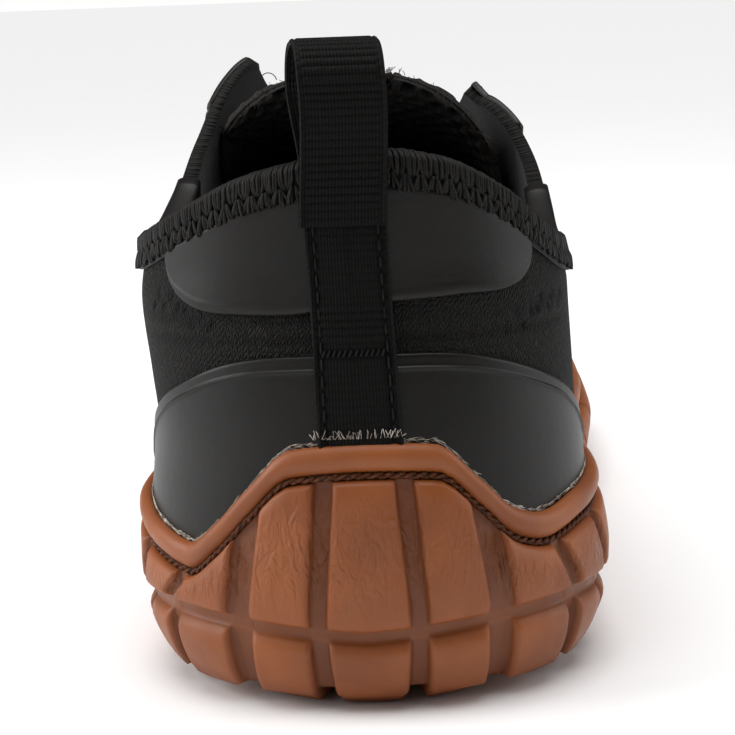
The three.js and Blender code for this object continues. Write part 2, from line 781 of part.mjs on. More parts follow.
function makeHeelFilm() {
  const end = collarStations[0];
  const lower = (side, station) => rimTop(side, station) + filmClear;
  const upper = (side, station) => {
    const share = clamp(station / end, 0, 1);
    const fall = (1 - share ** 2.4) ** 0.75;
    const low = lower(side, station);
    return Math.max(lerp(low, heelFilmHeight, fall), low + filmTip);
  };
  return overlay(roundTheHeel(end), lower, upper, 4, filmLayer);
}

const bindingFoot = (side, station) => collarTop(side, station) - bindingDepth;

function makeCollarPatch() {
  const end = upperStations[5];
  const upper = (side, station) => bindingFoot(side, station) - seam;
  const lower = (side, station) => {
    const share = clamp(station / end, 0, 1);
    return upper(side, station) - Math.max(patchDepth * Math.sqrt(1 - share ** 2), filmTip);
  };
  return overlay(roundTheHeel(end), lower, upper, 4, filmLayer);
}

// A channel over the collar's edge: down the outside, over the top and down the padded inside.
function makeCollarBinding() {
  const end = collarStations[2];
  const places = roundTheHeel(end);
  const section = (side, station, extra) => {
    const top = archEnd(side, station);
    const foot = angleAtHeight(side, station, bindingFoot(side, station));
    const wall = wallAt(station, 1);
    const cap = seam + extra;
    const edge = (offset, angle, rise) => {
      const point = offArch(side, station, angle, offset);
      point.z += rise;
      return point;
    };
    return [
      edge(cap, foot, 0),
      edge(cap, top, 0),
      edge(cap * 0.3, top, cap * 0.8),
      edge(-wall - cap * 0.3, top, cap * 0.8),
      edge(-wall - cap, top, 0),
      edge(-wall - cap, lerp(foot, top, 0.3), 0),
    ];
  };
  const outer = places.map(([side, station]) => section(side, station, bindingWall));
  const inner = places.map(([side, station]) => section(side, station, 0));
  return slab(outer, inner);
}

// Webbing that hugs the heel from the rim up to the binding.
function makeHeelStrap() {
  const near = seam + film + seam;
  const low = rimHeight + filmClear;
  const high = collarHeight - bindingDepth - seam;
  const turn = Math.asin(webbingWidth / heelWidth) / (Math.PI / 2);
  const across = [[LATERAL, turn], [LATERAL, turn / 3], [MEDIAL, turn / 3], [MEDIAL, turn]];
  return overlay(across, () => low, () => high, 8, { near, far: near + webbingThickness });
}

// Webbing loop: sewn over the strap outside, up and over, then down inside the collar.
function makePullLoop() {
  const heelBack = (z) => archPoint(LATERAL, 0, angleAtHeight(LATERAL, 0, z)).y;
  const outside = seam * 3 + film + webbingThickness;
  const hollow = webbingWidth ** 2 / (4 * heelWidth) + seam;
  const inside = upperWall + collarPadding + seam * 2 + bindingWall + hollow;
  const low = collarHeight - loopOverlap;
  const edge = heelBack(collarHeight);
  const [front, back] = [edge - outside, edge + inside];
  const top = collarHeight + loopRise;
  const radius = (back - front) / 2 + webbingThickness / 2;
  const middle = (front + back) / 2;
  const path = [
    [heelBack(low) - outside, low],
    [front, collarHeight - bindingDepth * 0.3],
    [front - loopBow, top - radius * 1.25],
    ...evenly(0, Math.PI, 8).map((turn) => [
      middle - (radius + loopBow) * Math.cos(turn),
      top - radius + radius * Math.sin(turn),
    ]),
    [back + loopBow / 2, top - radius * 1.25],
    [back + webbingThickness, collarHeight],
    [back + webbingThickness, low + 1],
  ];
  const halfWebbing = webbingWidth / 2;
  const normals = path.map((_, i) => {
    const [a, b] = [path[Math.max(i - 1, 0)], path[Math.min(i + 1, path.length - 1)]];
    const way = new THREE.Vector2(b[0] - a[0], b[1] - a[1]).normalize();
    return [-way.y, way.x];
  });
  const strand = (offset) =>
    path.map(([y, z], i) =>
      [-halfWebbing, halfWebbing].map((x) =>
        vec(x - upperLean, y + normals[i][0] * offset, z + normals[i][1] * offset)),
    );
  return slab(strand(webbingThickness), strand(0));
}

// Overlay round the throat: a layer over the upper, cut to an outline drawn from above.
function makeEyestay() {
  const [back, front] = [wingFromHeel - eyestayBehindWing, throatEndFromHeel + eyestayBeyondThroat];
  const ends = eyestayLine.map((row) => ({ y: lerp(back, front, row.along), out: eyestayWidth * row.out }));
  const outline = new THREE.Shape();
  const centre = (y) => spinePoint(stationAtLength(y)).x;
  const edge = (side) => ends.map(({ y, out }) => [centre(y) + side * out, y]);
  [...edge(LATERAL), ...edge(MEDIAL).toReversed()].forEach(([x, y], i) =>
    i ? outline.lineTo(x, y) : outline.moveTo(x, y),
  );
  const prism = { depth: collarHeight * 2, bevelEnabled: false };
  const cutter = plainSolid(new THREE.ExtrudeGeometry(outline, prism));
  let solid = upperShell(() => seam + film, () => seam).intersect(cutter);
  for (const hole of eyeletHoles()) solid = solid.subtract(hole);
  return geometryFrom(solid);
}

// Lace bars that cross the throat, joined where they cross and at the eyelets.
function makeLace() {
  const lift = seam * 3.5 + film + laceThickness / 2;
  const above = ({ side, station, angle }) => offArch(side, station, angle, lift);
  const normalAt = ({ side, station, angle }) => archNormal(side, station, angle);
  const [lateral, medial] = [eyelets(LATERAL), eyelets(MEDIAL)];
  const edge = (side, i) => placeDown(side, stationAtLength(eyeletLengths[i]), 0);
  const between = (from, to, share) => from.clone().lerp(to, share);
  const bar = (i, j, raise) => {
    const [a, b] = [above(lateral[i]), above(medial[j])];
    const over = Math.abs(above(edge(LATERAL, i)).x - a.x) / Math.abs(b.x - a.x);
    const [k, l] = [over, 1 - over];
    const atEdge = (side, share) => between(above(edge(side, i)), above(edge(side, j)), share);
    const points = [a, atEdge(LATERAL, k), between(a, b, 0.5), atEdge(MEDIAL, l), b];
    points[1].z += raise;
    points[3].z += raise;
    points[2].z = (points[1].z + points[3].z) / 2 + laceBow;
    points[0] = between(a, points[1], -0.25);
    points[4] = between(b, points[3], -0.25);
    const [normalA, normalB] = [normalAt(lateral[i]), normalAt(medial[j])];
    const normals = [0, 0.1, 0.5, 0.9, 1].map((share) => normalA.clone().lerp(normalB, share).normalize());
    const way = vec().subVectors(b, a);
    const face = (rise) =>
      points.map((p, n) => {
        const across = vec().crossVectors(normals[n], way).normalize();
        return [-1, 1].map((s) =>
          p.clone().addScaledVector(across, (s * laceWidth) / 2).addScaledVector(normals[n], rise));
      });
    return solidFrom(slab(face(laceThickness / 2), face(-laceThickness / 2)));
  };
  const last = lateral.length - 1;
  let solid = bar(last, last, 0);
  for (let i = 0; i < last; i++) solid = solid.add(bar(i, i + 1, laceLift)).add(bar(i + 1, i, laceLift));
  return geometryFrom(solid);
}

// How high the room under the upper is at a distance out from its spine, by halving.
function heightUnder(side, station, out) {
  const under = (angle) => offArch(side, station, angle, -wallAt(station, 1) - seam * 3);
  let [low, high] = [0, Math.PI / 2];
  for (let i = 0; i < 24; i++) {
    const middle = (low + high) / 2;
    if (Math.abs(under(middle).x - spinePoint(station).x) > out) low = middle;
    else high = middle;
  }
  return under(low).z;
}

// Padded tongue: an arched strip under the facings with a round top.
function makeTongue() {
  const lengths = [...evenly(tongueFoot, wingFromHeel, 6), ...evenly(wingFromHeel, tongueTop, 4).slice(1)];
  const edgeHeight = (side, y) => upperPoint(side, stationAtLength(y), 1).z;
  const underEdges = (y) => Math.min(edgeHeight(LATERAL, y), edgeHeight(MEDIAL, y)) - upperWall * 0.6;
  const crown = (y) => {
    if (y >= throatEndFromHeel - throatEndRound) return ridgeHeight(y) - upperWall - seam * 3;
    if (y >= wingFromHeel) return underEdges(y);
    const share = (wingFromHeel - y) / (wingFromHeel - tongueTop);
    return lerp(underEdges(wingFromHeel), tongueHeight, share ** 1.2);
  };
  const roundEnd = (y) => {
    const share = clamp((wingFromHeel - y) / (wingFromHeel - tongueTop), 0, 1);
    return Math.max(Math.sqrt(1 - share ** 3), 0.3);
  };
  const grid = (depth) =>
    lengths.map((y) => {
      const station = stationAtLength(Math.min(y, toeAxis));
      const back = smooth((tongueFoot - y) / (tongueFoot - tongueTop));
      const centre = spinePoint(station).x + tongueShift * back;
      return evenly(-1, 1, 8).map((share) => {
        const side = share > 0 ? LATERAL : MEDIAL;
        const reach = footprintPoint(side, station, upperInset).distanceTo(spinePoint(station));
        const taper = lerp(0.72, 1, smooth((tongueFoot - y) / (tongueFoot - wingFromHeel)));
        const shift = centre - spinePoint(station).x;
        const room = reach * 0.86 - upperWall - side * shift + clamp((wingFromHeel - y) * 0.2, 0, 2);
        const half = Math.min((tongueWidth / 2) * taper, room) * roundEnd(y);
        const across = half * share;
        const free = (2 * Math.abs(across)) / (tongueWidth * 1.03);
        const fall = tongueDrop * (1 - (1 - free ** 2.5) ** (1 / 2.5));
        const x = centre + across;
        const under = heightUnder(side, station, Math.abs(x - spinePoint(station).x));
        const top = Math.min(crown(y) - fall, y >= wingFromHeel - 10 ? under : Infinity);
        return vec(x, y, top - depth * (1 - 0.6 * Math.abs(share) ** 4));
      });
    });
  return slab(grid(0), grid(tongueThickness));
}

// Finishes
const gum = new THREE.MeshStandardMaterial({ color: 0xa9683f, roughness: 0.55 });
const knit = new THREE.MeshStandardMaterial({ color: 0x151413, roughness: 0.95 });
const blackFilm = new THREE.MeshStandardMaterial({ color: 0x25221f, roughness: 0.45 });
const webbing = new THREE.MeshStandardMaterial({ color: 0x0e0e0d, roughness: 0.85 });
const spacerMesh = new THREE.MeshStandardMaterial({ color: 0x121212, roughness: 0.9 });
const foam = new THREE.MeshStandardMaterial({ color: 0x1c1c1e, roughness: 0.95 });

const pieces = [
  ["outsole", makeOutsole(), gum],
  ["insole", makeInsole(), foam],
  ["upper", makeUpper(), knit],
  ["heel_film", makeHeelFilm(), blackFilm],
  ["collar_patch", makeCollarPatch(), blackFilm],
  ["collar_binding", makeCollarBinding(), knit],
  ["heel_strap", makeHeelStrap(), webbing],
  ["pull_loop", makePullLoop(), webbing],
  ["eyestay", makeEyestay(), blackFilm],
  ["tongue", makeTongue(), spacerMesh],
  ["lace", makeLace(), webbing],
];

const shoe = new THREE.Group();
for (const [name, geometry, material] of pieces) {
  const mesh = new THREE.Mesh(bend(geometry), material);
  mesh.name = name;
  shoe.add(mesh);
}

// The shoe's own origin is on the floor under the middle of its outline
const box = new THREE.Box3().setFromObject(shoe);
const middle = box.getCenter(vec());
shoe.position.set(-middle.x, -middle.y, -box.min.z);

export default shoe;
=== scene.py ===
"""Knit sneaker, right shoe, EU 42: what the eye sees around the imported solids.

Shapes are worked out in millimetres from the back of the heel: x to the outer side, y to the toe, z up.
Each one is moved into the frame's metres when its mesh is made.
"""

import bmesh
import bpy
import numpy as np
from mathutils import Matrix, Vector


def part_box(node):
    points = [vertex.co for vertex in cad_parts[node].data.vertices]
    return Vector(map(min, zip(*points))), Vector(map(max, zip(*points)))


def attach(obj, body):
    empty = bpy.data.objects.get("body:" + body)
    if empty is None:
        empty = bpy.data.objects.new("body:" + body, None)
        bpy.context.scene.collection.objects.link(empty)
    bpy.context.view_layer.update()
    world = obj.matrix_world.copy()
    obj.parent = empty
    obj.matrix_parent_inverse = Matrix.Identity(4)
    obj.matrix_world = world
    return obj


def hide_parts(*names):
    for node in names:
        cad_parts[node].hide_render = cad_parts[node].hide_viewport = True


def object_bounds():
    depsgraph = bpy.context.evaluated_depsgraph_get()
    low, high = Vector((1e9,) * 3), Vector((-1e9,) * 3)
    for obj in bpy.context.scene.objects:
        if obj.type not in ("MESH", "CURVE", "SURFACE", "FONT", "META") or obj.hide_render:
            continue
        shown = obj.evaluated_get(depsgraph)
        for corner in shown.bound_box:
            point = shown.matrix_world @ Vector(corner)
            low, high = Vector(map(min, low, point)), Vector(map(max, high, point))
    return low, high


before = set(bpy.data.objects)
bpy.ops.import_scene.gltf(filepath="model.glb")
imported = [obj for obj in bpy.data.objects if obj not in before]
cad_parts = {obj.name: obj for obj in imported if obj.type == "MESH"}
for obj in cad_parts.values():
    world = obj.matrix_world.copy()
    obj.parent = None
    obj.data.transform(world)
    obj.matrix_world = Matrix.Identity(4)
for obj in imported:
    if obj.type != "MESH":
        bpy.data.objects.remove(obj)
cad_box = [list(corner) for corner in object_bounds()]

# Driving dimensions of the last, in millimetres, as the solids have them
SOLE_LENGTH = 282.0
HEEL_WIDTH = 79.6
BALL_WIDTH = 104.0
HEEL_ROUND = 40.0
TOE_ROUND = 75.0
TOE_SWING = 12.0
HEEL_FULLNESS = 2.1
LATERAL_TOE_FULLNESS = 2.05
MEDIAL_TOE_FULLNESS = 2.45
TOE_SPRING = 8.0
TOE_AXIS = SOLE_LENGTH - TOE_ROUND
MID_LENGTH = TOE_AXIS - HEEL_ROUND
SPRING_START = TOE_AXIS - 5

# Sole
LUG_DEPTH = 3.0
SOLE_FLOOR = 7.0
RIM_HEIGHT = 43.7
RIM_THICKNESS = 3.0
RIM_BEAD = 4.2
GROOVE = 1.3
BLOCK_RELIEF = 1.7
LUG_BAND = 11.0
LUG_REACH = 12.0
FOOT_TUCK = 11.5
ARCH_LIFT = 2.2

# Upper
UPPER_WALL = 2.2
COLLAR_PADDING = 2.0
UPPER_INSET = 5.0
UPPER_LEAN = 1.8
THROAT_TILT = 0.08
COLLAR_HEIGHT = 87.0
THROAT_GAP = 21.0
THROAT_END_GAP = 9.0
THROAT_END_ROUND = 8.0
WING_FROM_HEEL = 92.0
THROAT_END = 186.0
RIDGE_END_FROM_TOE = 32.0
RIDGE_SWING = 6.0

# Pieces on and in the upper
SEAM = 0.3
FILM = 0.7
PATCH_DEPTH = 17.4
KNIT_BAND = 7.3
BINDING_WALL = 1.0
BINDING_DEPTH = 5.0
HEEL_FILM_HEIGHT = COLLAR_HEIGHT - BINDING_DEPTH - SEAM - PATCH_DEPTH - KNIT_BAND
WEBBING_WIDTH = 14.0
WEBBING_THICKNESS = 1.2
LOOP_RISE = 17.0
LOOP_OVERLAP = 10.0
LOOP_BOW = 1.3
EYESTAY_WIDTH = 15.0
EYESTAY_BACK = WING_FROM_HEEL - 7.4
EYESTAY_FRONT = THROAT_END + 17.0
EYELET_RADIUS = 2.1
EYELET_INSET = 6.0
EYELET_PAIRS = 5
FIRST_EYELET = 118.0
LAST_EYELET = 174.0
LACE_WIDTH = 5.0
LACE_THICKNESS = 1.3
TONGUE_THICKNESS = 4.0
TONGUE_WIDTH = 59.0
TONGUE_SHIFT = -3.0
TONGUE_FOOT = 196.0
TONGUE_TOP = 74.0
TONGUE_HEIGHT = 98.5
TONGUE_DROP = 31.0
INSOLE_THICKNESS = 3.2

# Cloth and thread
STITCH_WIDTH = 1.2
STITCH_HEIGHT = 1.0
SEAM_RIDGE_HEIGHT = 60.6
FILM_SINK = 0.2
WARP_PITCH = 0.5
RIB_PITCH = 1.2
SELVEDGE = 0.45
STRAP_HALF_FOOT = 6.5
STRAP_HALF_TOP = 6.8
STRAP_SHIFT_FOOT = 0.6
STRAP_SHIFT_TOP = 0.1
STRAP_STITCH_INSET = 1.5
SEWN_THREAD_RADIUS = 0.17
FACING_STITCH_INSET = 1.8
STITCH_PITCH = 2.7
STITCH_LENGTH = 2.1
THREAD_PITCH = 0.52
THREAD_RADIUS = 0.3
HOLE_PITCH = 2.7
HOLE_PLACE = 0.45
TONGUE_FINE_FROM = 120
CELL_PITCH = 3.9
CELL_SIZE = 2.5
CELL_DEPTH = 1.45
TWIST_PITCH = 3.4
TWIST_RADIUS = 0.3
ROPE_THREAD_RADIUS = 0.36
FRAY_COUNT = 70
FUZZ_COUNT = 420
LINT_COUNT = 900

# Rounded edges of the sole's blocks: places of the columns, and how far the rounding reaches
EDGE_STEPS = np.array([0, 0.12, 0.3, 0.55, 0.9, 1.4])
EDGE_ROUND = 1.1

LATERAL, MEDIAL = 1.0, -1.0

# Footprint between its round ends: place, then half widths as shares of the local width
FOOTPRINT = {
    "at": (0, 0.21, 0.4, 0.6, 0.78, 0.9, 1),
    "lateral": (1.005, 0.96, 0.925, 0.915, 0.92, 0.91, 0.905),
    "medial": (1, 0.95, 0.86, 0.89, 0.99, 1.04, 1.06),
}
# Top of the sole's rim, its widest level and the lift of its lugs, by station: 0 heel, 1 side, 2 ball, 3 toe
RIM_LINE = {
    "at": (0, 0.18, 0.3, 0.42, 0.53, 0.7, 1, 1.35, 1.66, 2, 2.5, 3),
    "lateral": (1, 0.985, 0.85, 0.71, 0.675, 0.705, 0.735, 0.59, 0.53, 0.52, 0.6, 0.68),
    "medial": (1, 0.98, 0.845, 0.69, 0.6, 0.63, 0.7, 0.67, 0.62, 0.57, 0.6, 0.68),
    "widest": (0.48, 0.48, 0.47, 0.46, 0.45, 0.44, 0.43, 0.37, 0.33, 0.31, 0.32, 0.34),
    "lift": (0.2, 0.4, 0.9, 2, 3, 3.2, 2, 1, 0.5, 0.3, 0.8, 1.5),
}
COLLAR_LINE = {
    "at": (0, 0.12, 0.3, 0.5, 0.7, 0.85, 1, 1.06, 1.16, 1.24, 1.31),
    "lateral": (1, 0.998, 0.98, 0.925, 0.855, 0.815, 0.8, 0.8, 0.845, 0.94, 1.05),
    "medial": (1, 0.982, 0.957, 0.91, 0.865, 0.84, 0.83, 0.83, 0.88, 0.99, 1.15),
}
RIDGE_LINE = {
    "at": (0, 0.14, 0.195, 0.248, 0.284, 0.326, 0.39, 0.46, 0.53, 0.6, 0.67, 0.735, 0.81, 0.887, 1),
    "height": (3.1, 2.9, 2.25, 1.66, 1.37, 1.165, 1.075, 0.985, 0.875, 0.775, 0.69, 0.625, 0.535, 0.45, 0.36),
}
# Power of the superellipse that a section's arch follows
ARCH_LINE = {
    "at": (0, 0.9, 1.2, 1.6, 2.6),
    "lateral": (2.3, 2.3, 2.95, 2.45, 2.45),
    "medial": (2.3, 2.3, 3.3, 2.6, 2.45),
}
# How far the wall stands out from its arch over its height, as shares of the heel's half width
WALL_SWELL = {
    "at": (0, 0.25, 0.42, 0.55, 0.7, 0.8, 1),
    "back": (0, 0.03, 0.02, 0, -0.03, -0.035, -0.03),
    "lateral": (0, 0.02, 0.015, 0.015, 0.015, -0.015, -0.02),
    "medial": (0, 0.03, 0, 0.02, 0.045, 0.02, 0.01),
}
# Side blocks near the heel: distance from its back at the rim, at the groove and on the floor
HEEL_BLOCKS = (
    ((7.3, 8.9, 9.6), (17, 19.6, 21.5)),
    ((22, 24, 25.5), (34, 37.5, 40)),
    ((36.5, 40.5, 43), (48.5, 52, 54.5)),
)
CENTRE_BLOCK = (4.6, 6.4, 6.3)
BLOCK_GAP = 2.8
PLAIN_BLOCKS = 8
EYESTAY_LINE = {
    "at": (0, 0.14, 0.48, 0.76, 0.905, 0.976, 1),
    "out": (1.95, 1.9, 1.75, 1.6, 1.35, 0.85, 0.3),
}

# Where the heel's back and the sole's middle line lie in the frame, read from two solids
loop_low, loop_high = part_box("pull_loop")
FRAME_X = (loop_low.x + loop_high.x) * 500 + UPPER_LEAN
FRAME_Y = cad_box[0][1] * 1000


def lerp(a, b, t):
    return a + (b - a) * t


def smooth(t):
    t = np.clip(t, 0, 1)
    return t * t * (3 - 2 * t)


def bell(x, width):
    """One at zero and falling to nothing over a few widths."""
    return np.exp(-((x / width) ** 2))


def unit(v):
    return v / np.maximum(np.linalg.norm(v, axis=-1, keepdims=True), 1e-12)


def run_along(points, axis=0):
    """Distance along each polyline of points from its start."""
    step = np.linalg.norm(np.diff(points, axis=axis), axis=-1)
    start = np.zeros_like(step.take([0], axis))
    return np.concatenate([start, np.cumsum(step, axis)], axis)


def by_halving(goes_on, high, steps=22):
    """The greatest value between 0 and high for which goes_on still holds, by halving the span."""
    low = np.zeros(high.shape)
    for _ in range(steps):
        middle = (low + high) / 2
        on = goes_on(middle)
        low, high = np.where(on, middle, low), np.where(on, high, middle)
    return low


def column(table, key):
    """A smooth curve through a table's column.

    Cubics whose slope at a row is the harmonic mean of its neighbours'.
    """
    x, y = np.array(table["at"], float), np.array(table[key], float)
    step = np.diff(x)
    slope = np.diff(y) / step
    tangent = np.zeros_like(y)
    a, b = slope[:-1], slope[1:]
    same = a * b > 0
    tangent[1:-1][same] = (2 * a * b)[same] / (a + b)[same]

    def curve(at):
        v = np.clip(at, x[0], x[-1])
        i = np.clip(np.searchsorted(x, v, side="right") - 1, 0, len(step) - 1)
        h = step[i]
        t = (v - x[i]) / h
        s = 1 - t
        ends = s * s * (1 + 2 * t) * y[i] + t * t * (3 - 2 * t) * y[i + 1]
        return ends + t * s * h * (s * tangent[i] - t * tangent[i + 1])

    return curve


def both_sides(table):
    lateral, medial = column(table, "lateral"), column(table, "medial")
    return lambda side, at: np.where(side > 0, lateral(at), medial(at))


footprint_share = both_sides(FOOTPRINT)
rim_share = both_sides(RIM_LINE)
widest_share = column(RIM_LINE, "widest")
lug_lift = column(RIM_LINE, "lift")
collar_share = both_sides(COLLAR_LINE)
ridge_share = column(RIDGE_LINE, "height")
back_swell = column(WALL_SWELL, "back")
side_swell = both_sides(WALL_SWELL)
arch_fullness = both_sides(ARCH_LINE)
eyestay_out = column(EYESTAY_LINE, "out")


def rim_top(side, station):
    return RIM_HEIGHT * rim_share(side, station)


def collar_top(side, station):
    return COLLAR_HEIGHT * collar_share(side, station)


def ridge_height(y):
    return COLLAR_HEIGHT * ridge_share(y / SOLE_LENGTH)


def station_at_length(y):
    return 1 + (y - HEEL_ROUND) / MID_LENGTH


def half_width(side, share):
    return lerp(HEEL_WIDTH, BALL_WIDTH, smooth(share)) / 2 * footprint_share(side, share)


def footprint_point(side, station, inset=0.0):
    """The footprint drawn in by inset: superellipse quarters at heel and toe, the table's sides between."""
    side, station = np.broadcast_arrays(side, station)
    turn = np.clip(station, 0, 1) * np.pi / 2
    power = 2 / HEEL_FULLNESS
    heel = np.stack([
        side * (half_width(side, 0.0) - inset) * np.sin(turn) ** power,
        HEEL_ROUND - (HEEL_ROUND - inset) * np.maximum(np.cos(turn), 0) ** power,
    ], -1)
    share = np.clip(station - 1, 0, 1)
    middle = np.stack([side * (half_width(side, share) - inset), HEEL_ROUND + MID_LENGTH * share], -1)
    turn = np.clip(station - 2, 0, 1) * np.pi / 2
    power = 2 / np.where(side > 0, LATERAL_TOE_FULLNESS, MEDIAL_TOE_FULLNESS)
    centre = (half_width(LATERAL, 1.0) - half_width(MEDIAL, 1.0)) / 2
    reach = half_width(side, 1.0) - side * centre - inset
    forward = np.sin(turn) ** power
    toe = np.stack([
        centre + side * reach * np.maximum(np.cos(turn), 0) ** power - TOE_SWING * forward**2,
        TOE_AXIS + (TOE_ROUND - inset) * forward,
    ], -1)
    at = station[..., None]
    return np.where(at <= 1, heel, np.where(at <= 2, middle, toe))


def spine_point(station):
    """The point under the ridge that a section looks out from."""
    share = np.clip(station - 1, 0, 1)
    centre = (half_width(LATERAL, share) - half_width(MEDIAL, share)) / 2
    x = lerp(0, centre - RIDGE_SWING, smooth(share))
    y = HEEL_ROUND + MID_LENGTH * share
    forward = np.sin(np.clip(station - 2, 0, 1) * np.pi / 2)
    y = np.where(station > 2, lerp(TOE_AXIS, SOLE_LENGTH - RIDGE_END_FROM_TOE, forward), y)
    return np.stack([x - TOE_SWING * 0.5 * forward, y], -1)


def arch_point(side, station, angle):
    """The upper's outer face: superellipse arches from footprint to ridge, swelled at heel and ankle."""
    side, station, angle = np.broadcast_arrays(side, station, angle)
    power = arch_fullness(side, station)
    cos, sin = np.maximum(np.cos(angle), 0), np.maximum(np.sin(angle), 0)
    scale = (cos**power + sin**power) ** (-1 / power)
    base = footprint_point(side, station, UPPER_INSET)
    spine = spine_point(station)
    plan = spine + (base - spine) * (cos * scale)[..., None]
    throat = np.clip((plan[..., 1] - WING_FROM_HEEL) / (THROAT_END - WING_FROM_HEEL), 0, 1)
    tilt = np.where(side < 0, 1 + THROAT_TILT * (1 - smooth(throat)), 1)
    z = SOLE_FLOOR + (ridge_height(plan[..., 1]) - SOLE_FLOOR) * sin * scale * tilt
    fade = 1 - smooth((spine[..., 1] - HEEL_ROUND) / (WING_FROM_HEEL - HEEL_ROUND))
    level = np.clip((z - SOLE_FLOOR) / (COLLAR_HEIGHT - SOLE_FLOOR), 0, 1)
    swell = lerp(back_swell(level), side_swell(side, level), smooth(station)) * HEEL_WIDTH / 2 * fade
    plan = plan + unit(base - spine) * swell[..., None]
    return np.concatenate([plan - np.stack([UPPER_LEAN * level * fade, 0 * z], -1), z[..., None]], -1)


def angle_at_height(side, station, z):
    """The angle at which a section's arch reaches a height."""
    side, station, z = np.broadcast_arrays(side, station, z)
    return by_halving(lambda angle: arch_point(side, station, angle)[..., 2] < z, np.full(z.shape, np.pi / 2))


def arch_end(side, station):
    """Where a section's arch is cut: at the collar's height, at the throat's gap, or not at all."""
    side, station = np.broadcast_arrays(side, station)
    spine = spine_point(station)
    y = spine[..., 1]
    straight = THROAT_END - THROAT_END_ROUND
    share = np.clip((y - WING_FROM_HEEL) / (straight - WING_FROM_HEEL), 0, 1)
    over = np.clip((y - straight) / THROAT_END_ROUND, 0, 1)
    gap = lerp(THROAT_GAP, THROAT_END_GAP, share) * np.sqrt(1 - over**2)
    reach = footprint_reach(side, station, UPPER_INSET)
    across = np.where(y < THROAT_END, gap / reach, 0)
    power = arch_fullness(side, station)
    throat = np.arctan2((1 - across**power) ** (1 / power), across)
    collar = angle_at_height(side, station, collar_top(side, station))
    return np.where(y < WING_FROM_HEEL, collar, throat)


def arch_normal(side, station, angle):
    """The outward normal of the arch, from two small steps on it."""
    small = 1e-3
    side, station, angle = np.broadcast_arrays(side, station, angle)
    back, ahead = np.maximum(station - small, 0), np.minimum(station + small, 3)
    turn = np.clip(angle, small, np.pi / 2 - small)
    along = arch_point(side, ahead, turn) - arch_point(side, back, turn)
    up = arch_point(side, station, turn + small) - arch_point(side, station, turn - small)
    normal = np.cross(up, along) * -side[..., None]
    edge = (station <= 0) | (station >= 3) | (angle > np.pi / 2 - 1e-6)
    normal[..., 0] = np.where(edge, 0, normal[..., 0])
    return unit(normal)


def off_arch(side, station, angle, offset):
    offset = np.asarray(offset, float)
    return arch_point(side, station, angle) + arch_normal(side, station, angle) * offset[..., None]


def footprint_reach(side, station, inset=0.0):
    """How far out the footprint lies from the spine, seen from above."""
    return np.linalg.norm(footprint_point(side, station, inset) - spine_point(station), axis=-1)


def plan_reach(side, station, z):
    point = arch_point(side, station, angle_at_height(side, station, z))
    return np.linalg.norm(point[..., :2] - spine_point(station), axis=-1)


def point_at_reach(side, station, reach, z):
    spine = spine_point(station)
    way = unit(footprint_point(side, station) - spine)
    plan = spine + way * np.asarray(reach)[..., None]
    return np.concatenate([plan, np.broadcast_to(z, reach.shape)[..., None]], -1)


# Distance along the girth from the heel's back: round the heel, along the side, round the toe
HEEL_GIRTH = HEEL_WIDTH / 2 * np.pi / 2
TOE_GIRTH = (BALL_WIDTH / 2 + TOE_ROUND) / 2 * np.pi / 2
HALF_GIRTH = HEEL_GIRTH + MID_LENGTH + TOE_GIRTH


def station_at_girth(girth):
    along = 1 + (girth - HEEL_GIRTH) / MID_LENGTH
    toe = 2 + (girth - HEEL_GIRTH - MID_LENGTH) / TOE_GIRTH
    return np.where(girth <= HEEL_GIRTH, girth / HEEL_GIRTH, np.where(along <= 2, along, np.minimum(toe, 3)))


def girth_at_station(station):
    heel = np.clip(station, 0, 1) * HEEL_GIRTH
    return heel + np.clip(station - 1, 0, 1) * MID_LENGTH + np.clip(station - 2, 0, 1) * TOE_GIRTH


def to_frame(points):
    """Lifts the front by the toe spring and moves millimetres into the frame's metres."""
    points = np.array(points, float).reshape(-1, 3)
    share = np.clip((points[:, 1] - SPRING_START) / (SOLE_LENGTH - SPRING_START), 0, 1.2)
    points[:, 2] += TOE_SPRING * share**2
    return (points + [FRAME_X, FRAME_Y, 0]) / 1000


def outward(points, quads):
    """Quads turned so that the closed surface faces out, told by its signed volume."""
    a, b, c, d = (points[quads[:, k]] for k in range(4))
    volume = np.einsum("ij,ij->i", a, np.cross(b, c)).sum() + np.einsum("ij,ij->i", a, np.cross(c, d)).sum()
    return quads[:, ::-1] if volume < 0 else quads


